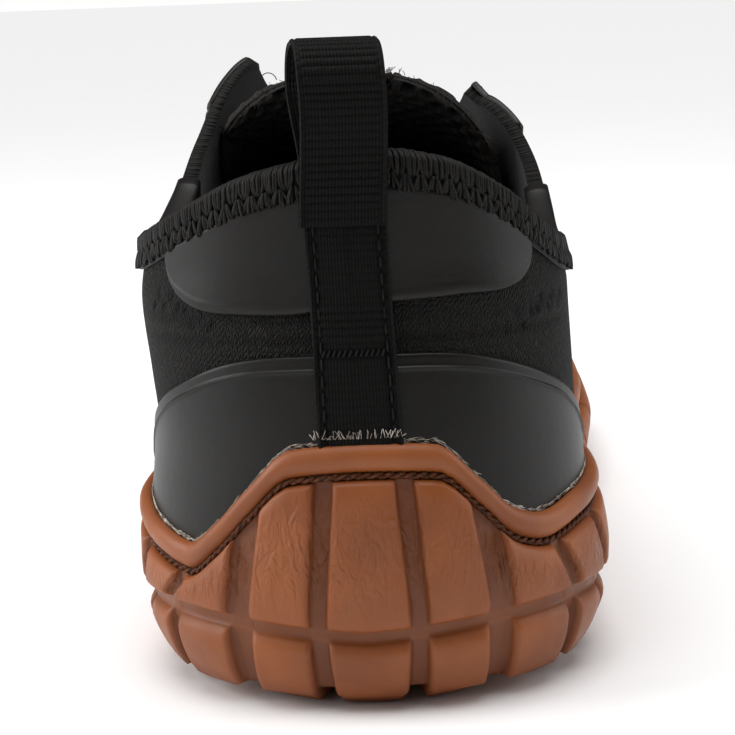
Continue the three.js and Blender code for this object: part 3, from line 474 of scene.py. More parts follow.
def make_piece(name, material, points, quads, uv=None, marks=None, replaces=(), slot=None, inside=None):
    """A mesh object from points and quads, with its seams merged.

    uv is a map in millimetres, marks are point attributes, inside is a second material and its faces.
    """
    points = to_frame(points)
    quads = outward(points, np.asarray(quads))
    mesh = bpy.data.meshes.new(name)
    mesh.vertices.add(len(points))
    mesh.vertices.foreach_set("co", points.astype(np.float32).ravel())
    mesh.loops.add(quads.size)
    mesh.loops.foreach_set("vertex_index", quads.astype(np.int32).ravel())
    mesh.polygons.add(len(quads))
    mesh.polygons.foreach_set("loop_start", np.arange(0, quads.size, 4, dtype=np.int32))
    if uv is not None:
        layer = mesh.uv_layers.new(name="cloth")
        layer.data.foreach_set("uv", np.asarray(uv, np.float32).reshape(-1, 2)[quads.ravel()].ravel())
    for mark, values in (marks or {}).items():
        attribute = mesh.attributes.new(mark, "FLOAT", "POINT")
        attribute.data.foreach_set("value", np.asarray(values, np.float32).ravel())
    mesh.materials.append(material)
    if inside:
        mesh.materials.append(inside[0])
        mesh.polygons.foreach_set("material_index", inside[1].astype(np.int32))
    mesh.update(calc_edges=True)
    work = bmesh.new()
    work.from_mesh(mesh)
    bmesh.ops.remove_doubles(work, verts=work.verts, dist=2e-6)
    bmesh.ops.dissolve_degenerate(work, edges=work.edges, dist=1e-7)
    work.to_mesh(mesh)
    work.free()
    mesh.polygons.foreach_set("use_smooth", np.full(len(mesh.polygons), True))
    piece = bpy.data.objects.new(name, mesh)
    bpy.context.scene.collection.objects.link(piece)
    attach(piece, "root")
    if replaces:
        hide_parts(*replaces)
    return piece


def corners(a, b, c, d):
    return np.stack([a, b, c, d], -1).reshape(-1, 4)


def slab(outer, inner, closed=False, skip_top=None):
    """Points and quads between two grids of points, with their borders: columns run round, rows run up."""
    count, rows = outer.shape[:2]
    ids = np.arange(count * rows).reshape(count, rows)
    under = count * rows
    a, b = (ids, np.roll(ids, -1, 0)) if closed else (ids[:-1], ids[1:])
    top = corners(a[:, -1], b[:, -1], b[:, -1] + under, a[:, -1] + under)
    faces = [
        corners(a[:, :-1], b[:, :-1], b[:, 1:], a[:, 1:]),
        corners(a[:, :-1], a[:, 1:], b[:, 1:], b[:, :-1]) + under,
        corners(a[:, 0], a[:, 0] + under, b[:, 0] + under, b[:, 0]),
        top if skip_top is None else top[~skip_top],
    ]
    if not closed:
        first, last = ids[0], ids[-1]
        faces.append(corners(first[:-1], first[1:], first[1:] + under, first[:-1] + under))
        faces.append(corners(last[:-1], last[:-1] + under, last[1:] + under, last[1:]))
    points = np.concatenate([outer.reshape(-1, 3), inner.reshape(-1, 3)])
    return points, np.concatenate(faces)


def ringed_body(rings):
    """Points and quads of rings laid one after another, with rungs across the first and last."""
    rows, count = rings.shape[:2]
    ids = np.arange(rows * count).reshape(rows, count)
    nxt = np.roll(ids, -1, 1)
    i = np.arange(count // 2 - 1)
    rungs = corners(i, i + 1, count - 2 - i, count - 1 - i)
    sides = corners(ids[:-1], nxt[:-1], nxt[1:], ids[1:])
    return rings.reshape(-1, 3), np.concatenate([sides, rungs[:, ::-1], rungs + ids[-1, 0]])


def tubes(paths, radius, facing, sides=6):
    """A round thread along each path, closed at both ends. paths is (count, steps, 3)."""
    count, steps = paths.shape[:2]
    tangent = unit(np.gradient(paths, axis=1))
    across = unit(np.cross(tangent, np.broadcast_to(facing, paths.shape)))
    up = np.cross(across, tangent)
    turn = np.arange(sides) * 2 * np.pi / sides
    ring = np.cos(turn)[:, None] * across[:, :, None] + np.sin(turn)[:, None] * up[:, :, None]
    radius = np.broadcast_to(radius, (count, steps))[:, :, None, None]
    points = paths[:, :, None] + ring * radius
    ids = np.arange(count * steps * sides).reshape(count, steps, sides)
    nxt = np.roll(ids, -1, 2)
    faces = [corners(ids[:, :-1], nxt[:, :-1], nxt[:, 1:], ids[:, 1:])]
    for k in range(1, sides - 1, 2):
        far = (k + 2) % sides
        start, end = ids[:, 0], ids[:, -1]
        faces.append(corners(start[:, 0], start[:, far], start[:, k + 1], start[:, k]))
        faces.append(corners(end[:, 0], end[:, k], end[:, k + 1], end[:, far]))
    return points.reshape(-1, 3), np.concatenate(faces)


def joined(*parts):
    """Several (points, quads) pairs as one."""
    start = np.cumsum([0] + [len(points) for points, _ in parts])
    return (np.concatenate([points for points, _ in parts]),
            np.concatenate([quads + first for (_, quads), first in zip(parts, start)]))


# Colours and finishes

def linear(hex_colour):
    """An sRGB hex colour as linear light, with alpha."""
    channels = np.array([int(hex_colour[k : k + 2], 16) for k in (1, 3, 5)]) / 255
    light = np.where(channels <= 0.04045, channels / 12.92, ((channels + 0.055) / 1.055) ** 2.4)
    return (*light.tolist(), 1.0)


def add(tree, kind, *inputs, named=None, **settings):
    """Adds a node. Settings are its properties, and an input is a value or the socket that feeds it."""
    made = tree.nodes.new("ShaderNode" + kind)
    for key, value in settings.items():
        setattr(made, key, value)
    for key, value in [*enumerate(inputs), *(named or {}).items()]:
        if isinstance(value, bpy.types.NodeSocket):
            tree.links.new(value, made.inputs[key])
        elif value is not None:
            made.inputs[key].default_value = value
    return made


def calc(tree, operation, *values):
    return add(tree, "Math", *values, operation=operation).outputs[0]


def finish(name, colour, roughness, **sockets):
    """A material with one surface shader, whose even values are set on its own sockets."""
    made = bpy.data.materials.new(name)
    made.use_nodes = True
    made.diffuse_color = linear(colour)
    shader = made.node_tree.nodes["Principled BSDF"]
    shader.inputs["Base Color"].default_value = linear(colour)
    shader.inputs["Roughness"].default_value = roughness
    for key, value in sockets.items():
        shader.inputs[key.replace("_", " ")].default_value = value
    return made, made.node_tree, shader


def tint(tree, shader, share, dark, light):
    """The base colour between two tones by a share from 0 to 1."""
    mixed = add(tree, "Mix", data_type="RGBA", named={0: share, 6: linear(dark), 7: linear(light)})
    tree.links.new(mixed.outputs[2], shader.inputs["Base Color"])
    return mixed


def emboss(tree, shader, height, depth, below=None):
    """Bump by a height from 0 to 1 that stands for depth millimetres, over another bump's normal."""
    sockets = {"Strength": 1.0, "Distance": depth / 1000, "Height": height, "Normal": below}
    bump = add(tree, "Bump", named=sockets)
    tree.links.new(bump.outputs[0], shader.inputs["Normal"])
    return bump.outputs[0]


def cloth_place(tree):
    """The piece's own map in millimetres, as separate x and y."""
    place = add(tree, "UVMap", uv_map="cloth").outputs[0]
    parts = add(tree, "SeparateXYZ", place)
    return place, parts.outputs[0], parts.outputs[1]


def object_noise(tree, size, detail=3.0):
    """Noise with lumps of a size in millimetres."""
    place = add(tree, "TexCoord").outputs["Object"]
    return add(tree, "TexNoise", named={"Vector": place, "Scale": 1000 / size, "Detail": detail}).outputs[0]


def spread(tree, value, low, high):
    """A value stretched so that low becomes 0 and high becomes 1."""
    return add(tree, "MapRange", named={0: value, 1: low, 2: high, 3: 0.0, 4: 1.0}).outputs[0]


def mark(tree, name):
    return add(tree, "Attribute", attribute_name=name).outputs["Fac"]


def gum_rubber():
    """Natural gum rubber, compression moulded: warm, slightly waxy, with flow wrinkles, and its base colour
    darkened in the groove, between the blocks and round the lugs as painted shade.
    """
    made, tree, shader = finish("gum_rubber_moulded", "#86471E", 0.5, Specular_IOR_Level=0.4)
    tone = tint(tree, shader, spread(tree, object_noise(tree, 14), 0.35, 0.65), "#7D411B", "#8E4D21")
    # Painted shade: the deep mark pulls the base colour towards #4E260F in the groove, between the blocks and
    # round the lugs.
    painted_recess_shade = {0: mark(tree, "deep"), 6: tone.outputs[2], 7: linear("#4E260F")}
    deep = add(tree, "Mix", data_type="RGBA", named=painted_recess_shade)
    tree.links.new(deep.outputs[2], shader.inputs["Base Color"])
    place = add(tree, "TexCoord").outputs["Object"]
    stretched = add(tree, "Mapping", named={"Vector": place, "Scale": (1, 1, 0.5)}).outputs[0]
    flow = add(tree, "TexNoise",
               named={"Vector": stretched, "Scale": 1000 / 2.0, "Detail": 5.0, "Distortion": 1.6})
    wrinkle = emboss(tree, shader, calc(tree, "MULTIPLY", flow.outputs[0], mark(tree, "wrinkle")), 0.75)
    emboss(tree, shader, object_noise(tree, 0.5), 0.03, wrinkle)
    rough = add(tree, "MapRange", named={0: object_noise(tree, 5), 1: 0.3, 2: 0.7, 3: 0.42, 4: 0.58})
    tree.links.new(rough.outputs[0], shader.inputs["Roughness"])
    return made


def knit_yarn():
    """Textured polyester yarn, flat knitted: knobbly matt stitches, base colour lighter on the crowns as
    painted highlight and darker in the gaps between as painted shade.
    """
    made, tree, shader = finish("polyester_knit", "#0B0A09", 0.7, Specular_IOR_Level=0.2)
    place, u, v = cloth_place(tree)
    wobble = add(tree, "TexNoise", named={"Vector": place, "Scale": 0.45, "Detail": 3.0}).outputs[0]
    u = calc(tree, "MULTIPLY_ADD", wobble, 1.6, calc(tree, "DIVIDE", u, STITCH_WIDTH))
    half = calc(tree, "PINGPONG", u, 0.5)
    slant = calc(tree, "MULTIPLY_ADD", half, 1.3, calc(tree, "DIVIDE", v, STITCH_HEIGHT))
    slant = calc(tree, "MULTIPLY_ADD", wobble, 2.4, slant)
    wave = calc(tree, "SINE", calc(tree, "MULTIPLY", slant, 2 * np.pi))
    strand = calc(tree, "MULTIPLY_ADD", wave, 0.5, 0.5)
    crown = calc(tree, "SINE", calc(tree, "MULTIPLY", half, 2 * np.pi))
    stitch = calc(tree, "MULTIPLY", strand, calc(tree, "MULTIPLY_ADD", crown, 0.75, 0.25))
    cells = {"Vector": place, "Scale": 1 / STITCH_WIDTH, "Smoothness": 0.35, "Randomness": 0.85}
    knob = add(tree, "TexVoronoi", feature="SMOOTH_F1", named=cells)
    knob = spread(tree, knob.outputs[0], 0.75, 0.1)
    fluff = add(tree, "TexNoise", named={"Vector": place, "Scale": 2.2, "Detail": 5.0, "Roughness": 0.7})
    height = calc(tree, "MULTIPLY_ADD", fluff.outputs[0], 0.7, calc(tree, "MULTIPLY_ADD", knob, 0.55, stitch))
    # The open stitches lower the height, so the tint below paints them dark as painted shade.
    height = calc(tree, "MULTIPLY_ADD", mark(tree, "hole"), -1.6, height)
    emboss(tree, shader, height, 0.5)
    # Painted highlight and shade: the base colour is lighter where the height is high, on the crowns, and
    # darker in the gaps.
    tint(tree, shader, spread(tree, height, 0.55, 1.75), "#020201", "#1C1814")
    return made


def smooth_film():
    """Black TPU film, hot pressed on the knit: satin, with a faint orange peel and soft wide highlights."""
    made, tree, shader = finish("tpu_film_pressed", "#100D0B", 0.4, Specular_IOR_Level=0.25)
    tint(tree, shader, spread(tree, object_noise(tree, 22), 0.3, 0.7), "#0D0B09", "#120F0D")
    peel = emboss(tree, shader, object_noise(tree, 1.6), 0.04)
    emboss(tree, shader, object_noise(tree, 0.35), 0.012, peel)
    return made


def webbing_cloth():
    """Polyester grosgrain: round weft ribs under fine warp threads, dull black, its base colour lighter on
    the thread crowns as painted highlight.
    """
    made, tree, shader = finish("grosgrain_woven", "#0A0908", 0.7, Specular_IOR_Level=0.12)
    place, u, v = cloth_place(tree)
    warp = calc(tree, "SINE", calc(tree, "MULTIPLY", u, 2 * np.pi / WARP_PITCH))
    fluff = add(tree, "TexNoise", named={"Vector": place, "Scale": 2.2, "Detail": 4.0}).outputs[0]
    height = calc(tree, "MULTIPLY_ADD", warp, 0.3, fluff)
    emboss(tree, shader, height, 0.16)
    # Painted highlight: the crown mark and the warp's height lighten the base colour.
    painted_crown_highlight = calc(tree, "MULTIPLY", spread(tree, height, 0.25, 1.0), mark(tree, "crown"))
    tint(tree, shader, painted_crown_highlight, "#020202", "#15120F")
    return made


def spun_thread(name, low, high):
    """Textured thread: soft twisted filaments, base colour lighter on the bump's high points as painted
    highlight.
    """
    made, tree, shader = finish(name, low, 0.6, Specular_IOR_Level=0.2)
    fine = object_noise(tree, 0.5, 4.0)
    emboss(tree, shader, fine, 0.08)
    # Painted highlight: the base colour is lighter where the bump's noise is high.
    tint(tree, shader, spread(tree, fine, 0.35, 0.7), low, high)
    return made


def spacer_mesh():
    """Warp knitted spacer fabric: springy round webs about open cells, base colour lighter on the webs'
    fibres as painted highlight and near black in the wells as painted shade.
    """
    made, tree, shader = finish("spacer_mesh_knitted", "#0B0A0A", 0.65, Specular_IOR_Level=0.2)
    fibre = object_noise(tree, 0.5, 5.0)
    emboss(tree, shader, fibre, 0.3)
    # Painted highlight on the webs and painted shade in the cells, by the web mark.
    web = calc(tree, "MULTIPLY", mark(tree, "web"), spread(tree, fibre, 0.3, 0.75))
    tint(tree, shader, web, "#020202", "#2A2623")
    return made


def lining_cloth(name, low, high):
    """Brushed polyester lining: soft, matt and close, with a short nap."""
    made, tree, shader = finish(name, low, 0.95, Specular_IOR_Level=0.2,
                                Sheen_Weight=0.15, Sheen_Roughness=0.6)
    nap = object_noise(tree, 0.9, 5.0)
    emboss(tree, shader, nap, 0.12)
    tint(tree, shader, spread(tree, nap, 0.3, 0.7), low, high)
    return made


def dry_cement():
    """Dried shoe cement and lint: pale, matt and uneven."""
    made, tree, shader = finish("dried_cement", "#A59A8C", 0.8, Specular_IOR_Level=0.3)
    tint(tree, shader, spread(tree, object_noise(tree, 1.5), 0.4, 0.6), "#7E7468", "#C9C1B6")
    return made


def floor_paint():
    made, tree, shader = finish("matt_floor_paint", "#F4F4F4", 0.9, Specular_IOR_Level=0.1)
    tint(tree, shader, object_noise(tree, 60), "#F3F3F3", "#F6F6F6")
    return made


GUM = gum_rubber()
KNIT = knit_yarn()
FILM_FINISH = smooth_film()
WEBBING = webbing_cloth()
THREAD = spun_thread("polyester_thread", "#050404", "#191613")
SOLE_THREAD = spun_thread("waxed_sole_thread", "#2B1509", "#6A3A1E")
MESH_CLOTH = spacer_mesh()
LINING = lining_cloth("brushed_lining", "#0A0908", "#151312")
SOCK_CLOTH = lining_cloth("sock_liner_cloth", "#101012", "#1E1E20")
CEMENT = dry_cement()

rng = np.random.default_rng(7)


# The upper

def full_round(stations):
    """Sides and stations up the lateral side, over the toe and back down the medial side."""
    inner = stations[1:-1]
    side = np.concatenate([np.full(len(stations), LATERAL), np.full(len(inner), MEDIAL)])
    return side, np.concatenate([stations, inner[::-1]])


def across_heel(end, count):
    """Sides and stations from a medial one round the heel to the lateral one."""
    place = np.linspace(-end, end, count)
    return np.where(place < 0, MEDIAL, LATERAL), np.abs(place)


def padded_share(station, rise):
    y = spine_point(station)[..., 1]
    fade = 1 - smooth((y - HEEL_ROUND) / (WING_FROM_HEEL - HEEL_ROUND))
    return fade * smooth((rise - 0.55) / 0.3)


def wall_at(station, rise):
    return UPPER_WALL + COLLAR_PADDING * padded_share(station, rise)


def upper_stations():
    heel = np.linspace(0, 1, 64)
    side = np.linspace(1, station_at_length(THROAT_END - THROAT_END_ROUND), 116)[1:]
    turn = np.linspace(0, np.pi / 2, 12)[1:]
    throat = station_at_length(THROAT_END - THROAT_END_ROUND + THROAT_END_ROUND * np.sin(turn))
    front = np.linspace(throat[-1], 2, 18)[1:]
    return np.concatenate([heel, side, throat, front, np.linspace(2, 3, 84)[1:]])


def is_vamp(station):
    return spine_point(station)[..., 1] >= THROAT_END - 1e-6


# Soft creases: side, station, height, half length round the shoe and half width up it, and depth
CREASES = (
    (LATERAL, 1.12, 60.0, 0.1, 7.0, 0.9),
    (MEDIAL, 1.1, 63.0, 0.1, 7.0, 0.8),
    (LATERAL, 1.88, 34.0, 0.02, 24.0, 1.1),
    (MEDIAL, 1.9, 32.0, 0.022, 24.0, 1.0),
    (LATERAL, 2.06, 30.0, 0.03, 20.0, 0.9),
    (MEDIAL, 2.08, 28.0, 0.03, 20.0, 0.8),
)
# Groups of open stitches: side, station and height of the middle, and how many across
OPEN_STITCHES = (
    (MEDIAL, 0.66, 64.0, 5),
    (MEDIAL, 0.5, 61.8, 4),
    (LATERAL, 0.72, 61.5, 6),
    (LATERAL, 0.55, 59.6, 4),
)


def knit_relief(side, station, point):
    """The knit's own low forms: a seam ridge across the heel with a groove under it, and the wear creases."""
    z = point[..., 2]
    near = 1 - smooth((station - 0.55) / 0.4)
    relief = near * (0.5 * bell(z - SEAM_RIDGE_HEIGHT, 0.9) - 0.4 * bell(z - SEAM_RIDGE_HEIGHT + 1.9, 0.6))
    for crease_side, at, height, length, width, depth in CREASES:
        level = (side == crease_side) * bell(z - height, width)
        here = level * bell(station - at, length)
        beside = level * bell(station - at - length * 2, length * 1.4)
        relief = relief - depth * here + depth * 0.6 * beside
    return relief


def open_stitches(side, station, point):
    """One at the middle of each open stitch: short staggered rows of holes in the knit, sunk a little and
    darkened in the knit's colour as painted shade.
    """
    z = point[..., 2]
    holes = np.zeros(z.shape)
    for hole_side, at, height, count in OPEN_STITCHES:
        for k in range(count):
            place = at + (k - count / 2) * 0.034
            level = height + (1.1 if k % 2 else -0.6)
            reach = np.hypot((station - place) * HEEL_GIRTH, z - level)
            holes = np.maximum(holes, (side == hole_side) * bell(reach, 0.55))
    return holes


def make_upper():
    side, station = full_round(upper_stations())
    rise = np.linspace(0, 1, 76)
    angle = arch_end(side, station)[:, None] * rise
    side, station = side[:, None], station[:, None]
    bare = arch_point(side, station, angle)
    hole = open_stitches(side, station, bare)
    outer = off_arch(side, station, angle, knit_relief(side, station, bare) - 0.5 * hole)
    inner = off_arch(side, station, angle, -wall_at(station, rise))
    for grid in (outer, inner):
        grid[:, 0, 2] = SOLE_FLOOR + SEAM
    vamp = is_vamp(station[:, 0])
    points, quads = slab(outer, inner, closed=True, skip_top=vamp & np.roll(vamp, -1))
    run = run_along(outer, 1)
    uv = np.stack([np.broadcast_to(side * girth_at_station(station), run.shape), run], -1).reshape(-1, 2)
    lined = (quads >= len(points) // 2).all(1)
    # The hole mark sinks the knit and darkens its colour as painted shade in the open stitches.
    make_piece("knit_upper", KNIT, points, quads, uv=np.tile(uv, (2, 1)), replaces=["upper"], slot="knit",
               marks={"hole": np.append(hole, 0 * hole)}, inside=(LINING, lined))


# Films on the heel

def film_patch(name, side, station, top, foot, ridge_at, ridge_rise, node):
    """A thin film between two height lines with rounded edges and one raised line inside an edge."""
    drop = np.array([0, 0.08, 0.2, 0.4, 0.8, 1.3, 1.7, 1.95, 2.1, 2.2, 2.3, 2.4, 2.5, 2.65, 2.9, 3.4, 4.2])
    rest = np.linspace(0, 1, 26)[1:]
    height = (top - foot)[:, None]
    tight = np.minimum(height / 9, 1)
    near_top = drop * tight
    below = lerp(near_top[:, -1:], height, rest)
    down = np.concatenate([near_top, below[:, :-1], height - 0.1 * tight, height], 1)
    z = top[:, None] - down
    side, station = side[:, None], station[:, None]
    angle = angle_at_height(side, station, z)
    edge = np.minimum(np.minimum(down, height - down), 0.5) / 0.5
    line = ridge_rise * bell((down if ridge_at > 0 else height - down) - abs(ridge_at) * tight, 0.22)
    lift = SEAM + FILM * np.sqrt(1 - (1 - edge) ** 2) + line * tight
    outer = off_arch(side, station, angle, lift)
    inner = off_arch(side, station, angle, np.full(lift.shape, -FILM_SINK))
    points, quads = slab(outer[:, ::-1], inner[:, ::-1])
    return make_piece(name, FILM_FINISH, points, quads, replaces=[node], slot="film")


COLLAR_END = station_at_length(HEEL_ROUND + 0.2 * (WING_FROM_HEEL - HEEL_ROUND))
PATCH_END = 5 / 8
BINDING_END = station_at_length(HEEL_ROUND + 0.6 * (WING_FROM_HEEL - HEEL_ROUND))
OVERLOCK_END = station_at_length(HEEL_ROUND + 5)


def make_heel_film():
    side, station = across_heel(COLLAR_END, 241)
    foot = rim_top(side, station) - 1.2
    share = station / COLLAR_END
    fall = (1 - share**2.4) ** 0.75
    top = np.maximum(lerp(foot, HEEL_FILM_HEIGHT, fall), foot + 1.6)
    return film_patch("heel_film_pressed", side, station, top, foot, 2.3, 0.3, "heel_film")


def make_collar_patch():
    side, station = across_heel(PATCH_END, 181)
    top = collar_top(side, station) - BINDING_DEPTH + 0.8
    share = station / PATCH_END
    foot = top - np.maximum((PATCH_DEPTH + 0.8) * np.sqrt(1 - share**2), 0.6)
    return film_patch("collar_patch_pressed", side, station, top, foot, -1.3, 0.1, "collar_patch")


# The collar's overlocked binding

def binding_point(side, station, place, lift):
    """The band over the collar's edge: place runs from its outer foot at 0, over the top, to 2 inside."""
    side, station, place = np.broadcast_arrays(side, station, place)
    end = arch_end(side[:, :1], station[:, :1])
    foot = angle_at_height(side[:, :1], station[:, :1], collar_top(side, station)[:, :1] - BINDING_DEPTH)
    wall = wall_at(station, 1.0)
    low = np.clip(place / 0.85, 0, 1)
    over = np.clip((place - 0.85) / 0.5, 0, 1) * np.pi
    inside = np.clip((place - 1.35) / 0.65, 0, 1)
    angle = np.where(place < 1.35, lerp(foot, end, low), lerp(end, foot, inside * 0.7))
    cap = SEAM + lift
    half = wall / 2 + cap
    offset = half * np.cos(over) - wall / 2
    point = off_arch(side, station, angle, offset)
    point[..., 2] += np.sin(over) * cap * 1.1
    return point


def make_binding():
    """The band's core under the threads, and the smooth tape that carries it on up to the facing."""
    side, station = across_heel(BINDING_END, 220)
    place = np.linspace(0, 2, 44)[None]
    outer = binding_point(side[:, None], station[:, None], place, 0.42)
    inner = binding_point(side[:, None], station[:, None], place, -0.1)
    points, quads = slab(outer, inner)
    columns = (quads % outer[..., 0].size) // outer.shape[1]
    smooth_tape = station[columns].min(1) > OVERLOCK_END
    make_piece("binding_band", LINING, points, quads, replaces=["collar_binding"], slot="knit",
               inside=(FILM_FINISH, smooth_tape))


def girth_pairs(girth):
    return np.where(girth < 0, MEDIAL, LATERAL), station_at_girth(np.abs(girth))


def make_overlock():
    """Thread loops in pairs over the collar's edge, parted at needle holes, and a fan below each hole."""
    end = girth_at_station(OVERLOCK_END)
    count = int((2 * end - 1) / THREAD_PITCH)
    girth = (np.arange(count) - count / 2) * THREAD_PITCH
    girth = girth + np.where(np.arange(count) % 2, -0.07, 0.07) + rng.normal(0, 0.05, count)
    place = np.linspace(HOLE_PLACE - 0.06, 1.9, 20)[None]
    to_hole = (girth + HOLE_PITCH / 2) % HOLE_PITCH - HOLE_PITCH / 2
    part = 0.5 * np.sign(to_hole) * bell(to_hole, 0.8)
    lean = rng.normal(0, 0.14, count)
    along = girth[:, None] + part[:, None] * bell(place - HOLE_PLACE, 0.13) + lean[:, None] * (place - 1)
    side, station = girth_pairs(along)
    lift = 0.72 + rng.normal(0, 0.05, count)[:, None] - 0.35 * bell(place - HOLE_PLACE + 0.05, 0.08)
    loops = binding_path(side, station, place, lift)
    hole = np.round(np.arange(-end + 1.5, end - 1, HOLE_PITCH) / HOLE_PITCH) * HOLE_PITCH
    fans = []
    for reach in (-1.25, -0.75, -0.25, 0.25, 0.75, 1.25):
        down = np.linspace(HOLE_PLACE + 0.02, 0.04, 10)[None] + 0 * hole[:, None]
        share = np.clip((HOLE_PLACE - down) / HOLE_PLACE, 0, 1)
        down = down + share * rng.normal(0.04, 0.05, hole.shape)[:, None]
        foot = reach + rng.normal(0, 0.16, hole.shape)[:, None]
        side, station = girth_pairs(hole[:, None] + 0.25 * np.sign(foot) + foot * share**0.8)
        lift = 0.62 + 0.2 * np.sin(share * np.pi) + rng.normal(0, 0.07, hole.shape)[:, None]
        fans.append(binding_path(side, station, down, lift))
    fan = np.concatenate(fans)
    away = unit(np.concatenate([fan[..., :2] - [0, HEEL_ROUND], 0 * fan[..., 2:]], -1))
    middle = np.array([0, HEEL_ROUND, COLLAR_HEIGHT - 30])
    points, quads = joined(tubes(loops, THREAD_RADIUS, unit(loops - middle)), tubes(fan, THREAD_RADIUS, away))
    make_piece("overlock_threads", THREAD, points, quads, slot="knit")


def binding_path(side, station, place, lift):
    """Points on the band for threads that wander along it, each with its own side and station."""
    shape = np.broadcast_shapes(side.shape, place.shape)
    flat = [np.broadcast_to(a, shape).reshape(-1, 1) for a in (side, station, place)]
    lift = np.broadcast_to(lift, shape).reshape(-1, 1)
    return binding_point(*flat, lift).reshape(*shape, 3)


# Webbing

def heel_y(z):
    return arch_point(LATERAL, 0.0, angle_at_height(LATERAL, 0.0, z))[..., 1]


def loop_path():
    """The loop's line from the side, from its outer foot over the top to its inner foot, as even steps."""
    outside = SEAM * 3 + FILM + WEBBING_THICKNESS
    hollow = WEBBING_WIDTH**2 / (4 * HEEL_WIDTH) + SEAM
    inside = UPPER_WALL + COLLAR_PADDING + SEAM * 2 + BINDING_WALL + hollow
    low = COLLAR_HEIGHT - LOOP_OVERLAP
    edge = float(heel_y(COLLAR_HEIGHT))
    front, back = edge - outside, edge + inside
    top = COLLAR_HEIGHT + LOOP_RISE
    radius = (back - front) / 2 + WEBBING_THICKNESS / 2
    middle = (front + back) / 2
    turn = np.linspace(0, np.pi, 24)
    over = np.stack([middle - (radius + LOOP_BOW) * np.cos(turn), top - radius + radius * np.sin(turn)], -1)
    up = [[float(heel_y(low)) - outside, low], [front, COLLAR_HEIGHT - BINDING_DEPTH * 0.3],
          [front - LOOP_BOW, top - radius * 1.25]]
    down = [[back + LOOP_BOW / 2, top - radius * 1.25], [back + WEBBING_THICKNESS, COLLAR_HEIGHT],
            [back + WEBBING_THICKNESS, low + 1]]
    rough = np.concatenate([up, over, down])
    run = run_along(rough)
    even = np.arange(0, run[-1], RIB_PITCH / 8)
    path = np.stack([np.interp(even, run, rough[:, k]) for k in (0, 1)], -1)
    soft = np.exp(-(np.arange(-18, 19) / 8.0) ** 2)
    padded = np.pad(path, ((18, 18), (0, 0)), mode="reflect", reflect_type="odd")
    return even, np.stack([np.convolve(padded[:, k], soft / soft.sum(), "valid") for k in (0, 1)], -1)


TAPE_ACROSS = np.concatenate([[-1, -0.99, -0.965, -0.94, -0.915], np.linspace(-0.88, 0.88, 33),
                              [0.915, 0.94, 0.965, 0.99, 1]])


def rib_shape(run, across, depth, half):
    """Lift of ribs across the tape that end at a beaded cord along each selvedge, and a painted highlight
    share, greatest on the rib tops and the beads.
    """
    from_edge = (1 - np.abs(across)) * half
    cord = bell(from_edge - SELVEDGE, SELVEDGE * 0.8)
    inside = smooth((from_edge - SELVEDGE * 1.6) / 0.4)
    rib = np.abs(np.sin(np.pi * run / RIB_PITCH)) ** 0.6
    bead = 0.55 + 0.45 * np.abs(np.sin(np.pi * run / RIB_PITCH * 1.15 + across * 2))
    edge = np.sqrt(np.clip(1 - (1 - np.clip(from_edge / 0.4, 0, 1)) ** 2, 0, 1))
    lift = depth * rib * inside + 0.3 * cord * bead - 0.4 * (1 - edge)
    # The second value is the painted highlight share.
    return lift, np.clip((0.15 + 0.75 * rib) * inside + 1.3 * cord * bead, 0, 1.3)


def make_pull_loop():
    """The tape's loop: its top is a little slanted, so the back strand shows beside the front one."""
    run, path = loop_path()
    way = unit(np.gradient(path, axis=0))
    out = np.stack([-way[:, 1], way[:, 0]], -1)
    half = WEBBING_WIDTH / 2 - 0.35
    share = run / run[-1]
    skew = 0.9 * bell(share - 0.3, 0.22) - 2.0 * bell(share - 0.66, 0.17)
    deep = lerp(0.16, 0.34, np.abs(np.cos(share * 6.5))) * (1 - 0.5 * bell(run - 2, 2))
    ribs, crown = rib_shape(run[:, None], TAPE_ACROSS[None], deep[:, None], half)

    def face(base, sign):
        plan = path[:, None] + out[:, None] * (base + sign * ribs)[..., None]
        x = TAPE_ACROSS * half - UPPER_LEAN + skew[:, None]
        return np.concatenate([x[..., None], plan], -1).transpose(1, 0, 2)

    points, quads = slab(face(WEBBING_THICKNESS * 0.7, 1), face(WEBBING_THICKNESS * 0.3, -1))
    uv = np.stack(np.broadcast_arrays(TAPE_ACROSS[:, None] * half, run[None]), -1).reshape(-1, 2)
    # The crown mark carries the painted highlight on the rib tops and beads.
    make_piece("pull_loop_tape", WEBBING, points, quads, uv=np.tile(uv, (2, 1)),
               marks={"crown": np.tile(crown.T.ravel(), 2)}, replaces=["pull_loop"], slot="webbing")


def strap_point(across, z, lift):
    """A point off the heel's back at a distance across the strap, by its turn round the heel."""
    across, z, lift = np.broadcast_arrays(across, z, lift)
    station = np.arcsin(np.clip(2 * across / HEEL_WIDTH, -1, 1)) / (np.pi / 2)
    side = np.where(across < 0, MEDIAL, LATERAL)
    return off_arch(side, np.abs(station), angle_at_height(side, np.abs(station), z), lift)


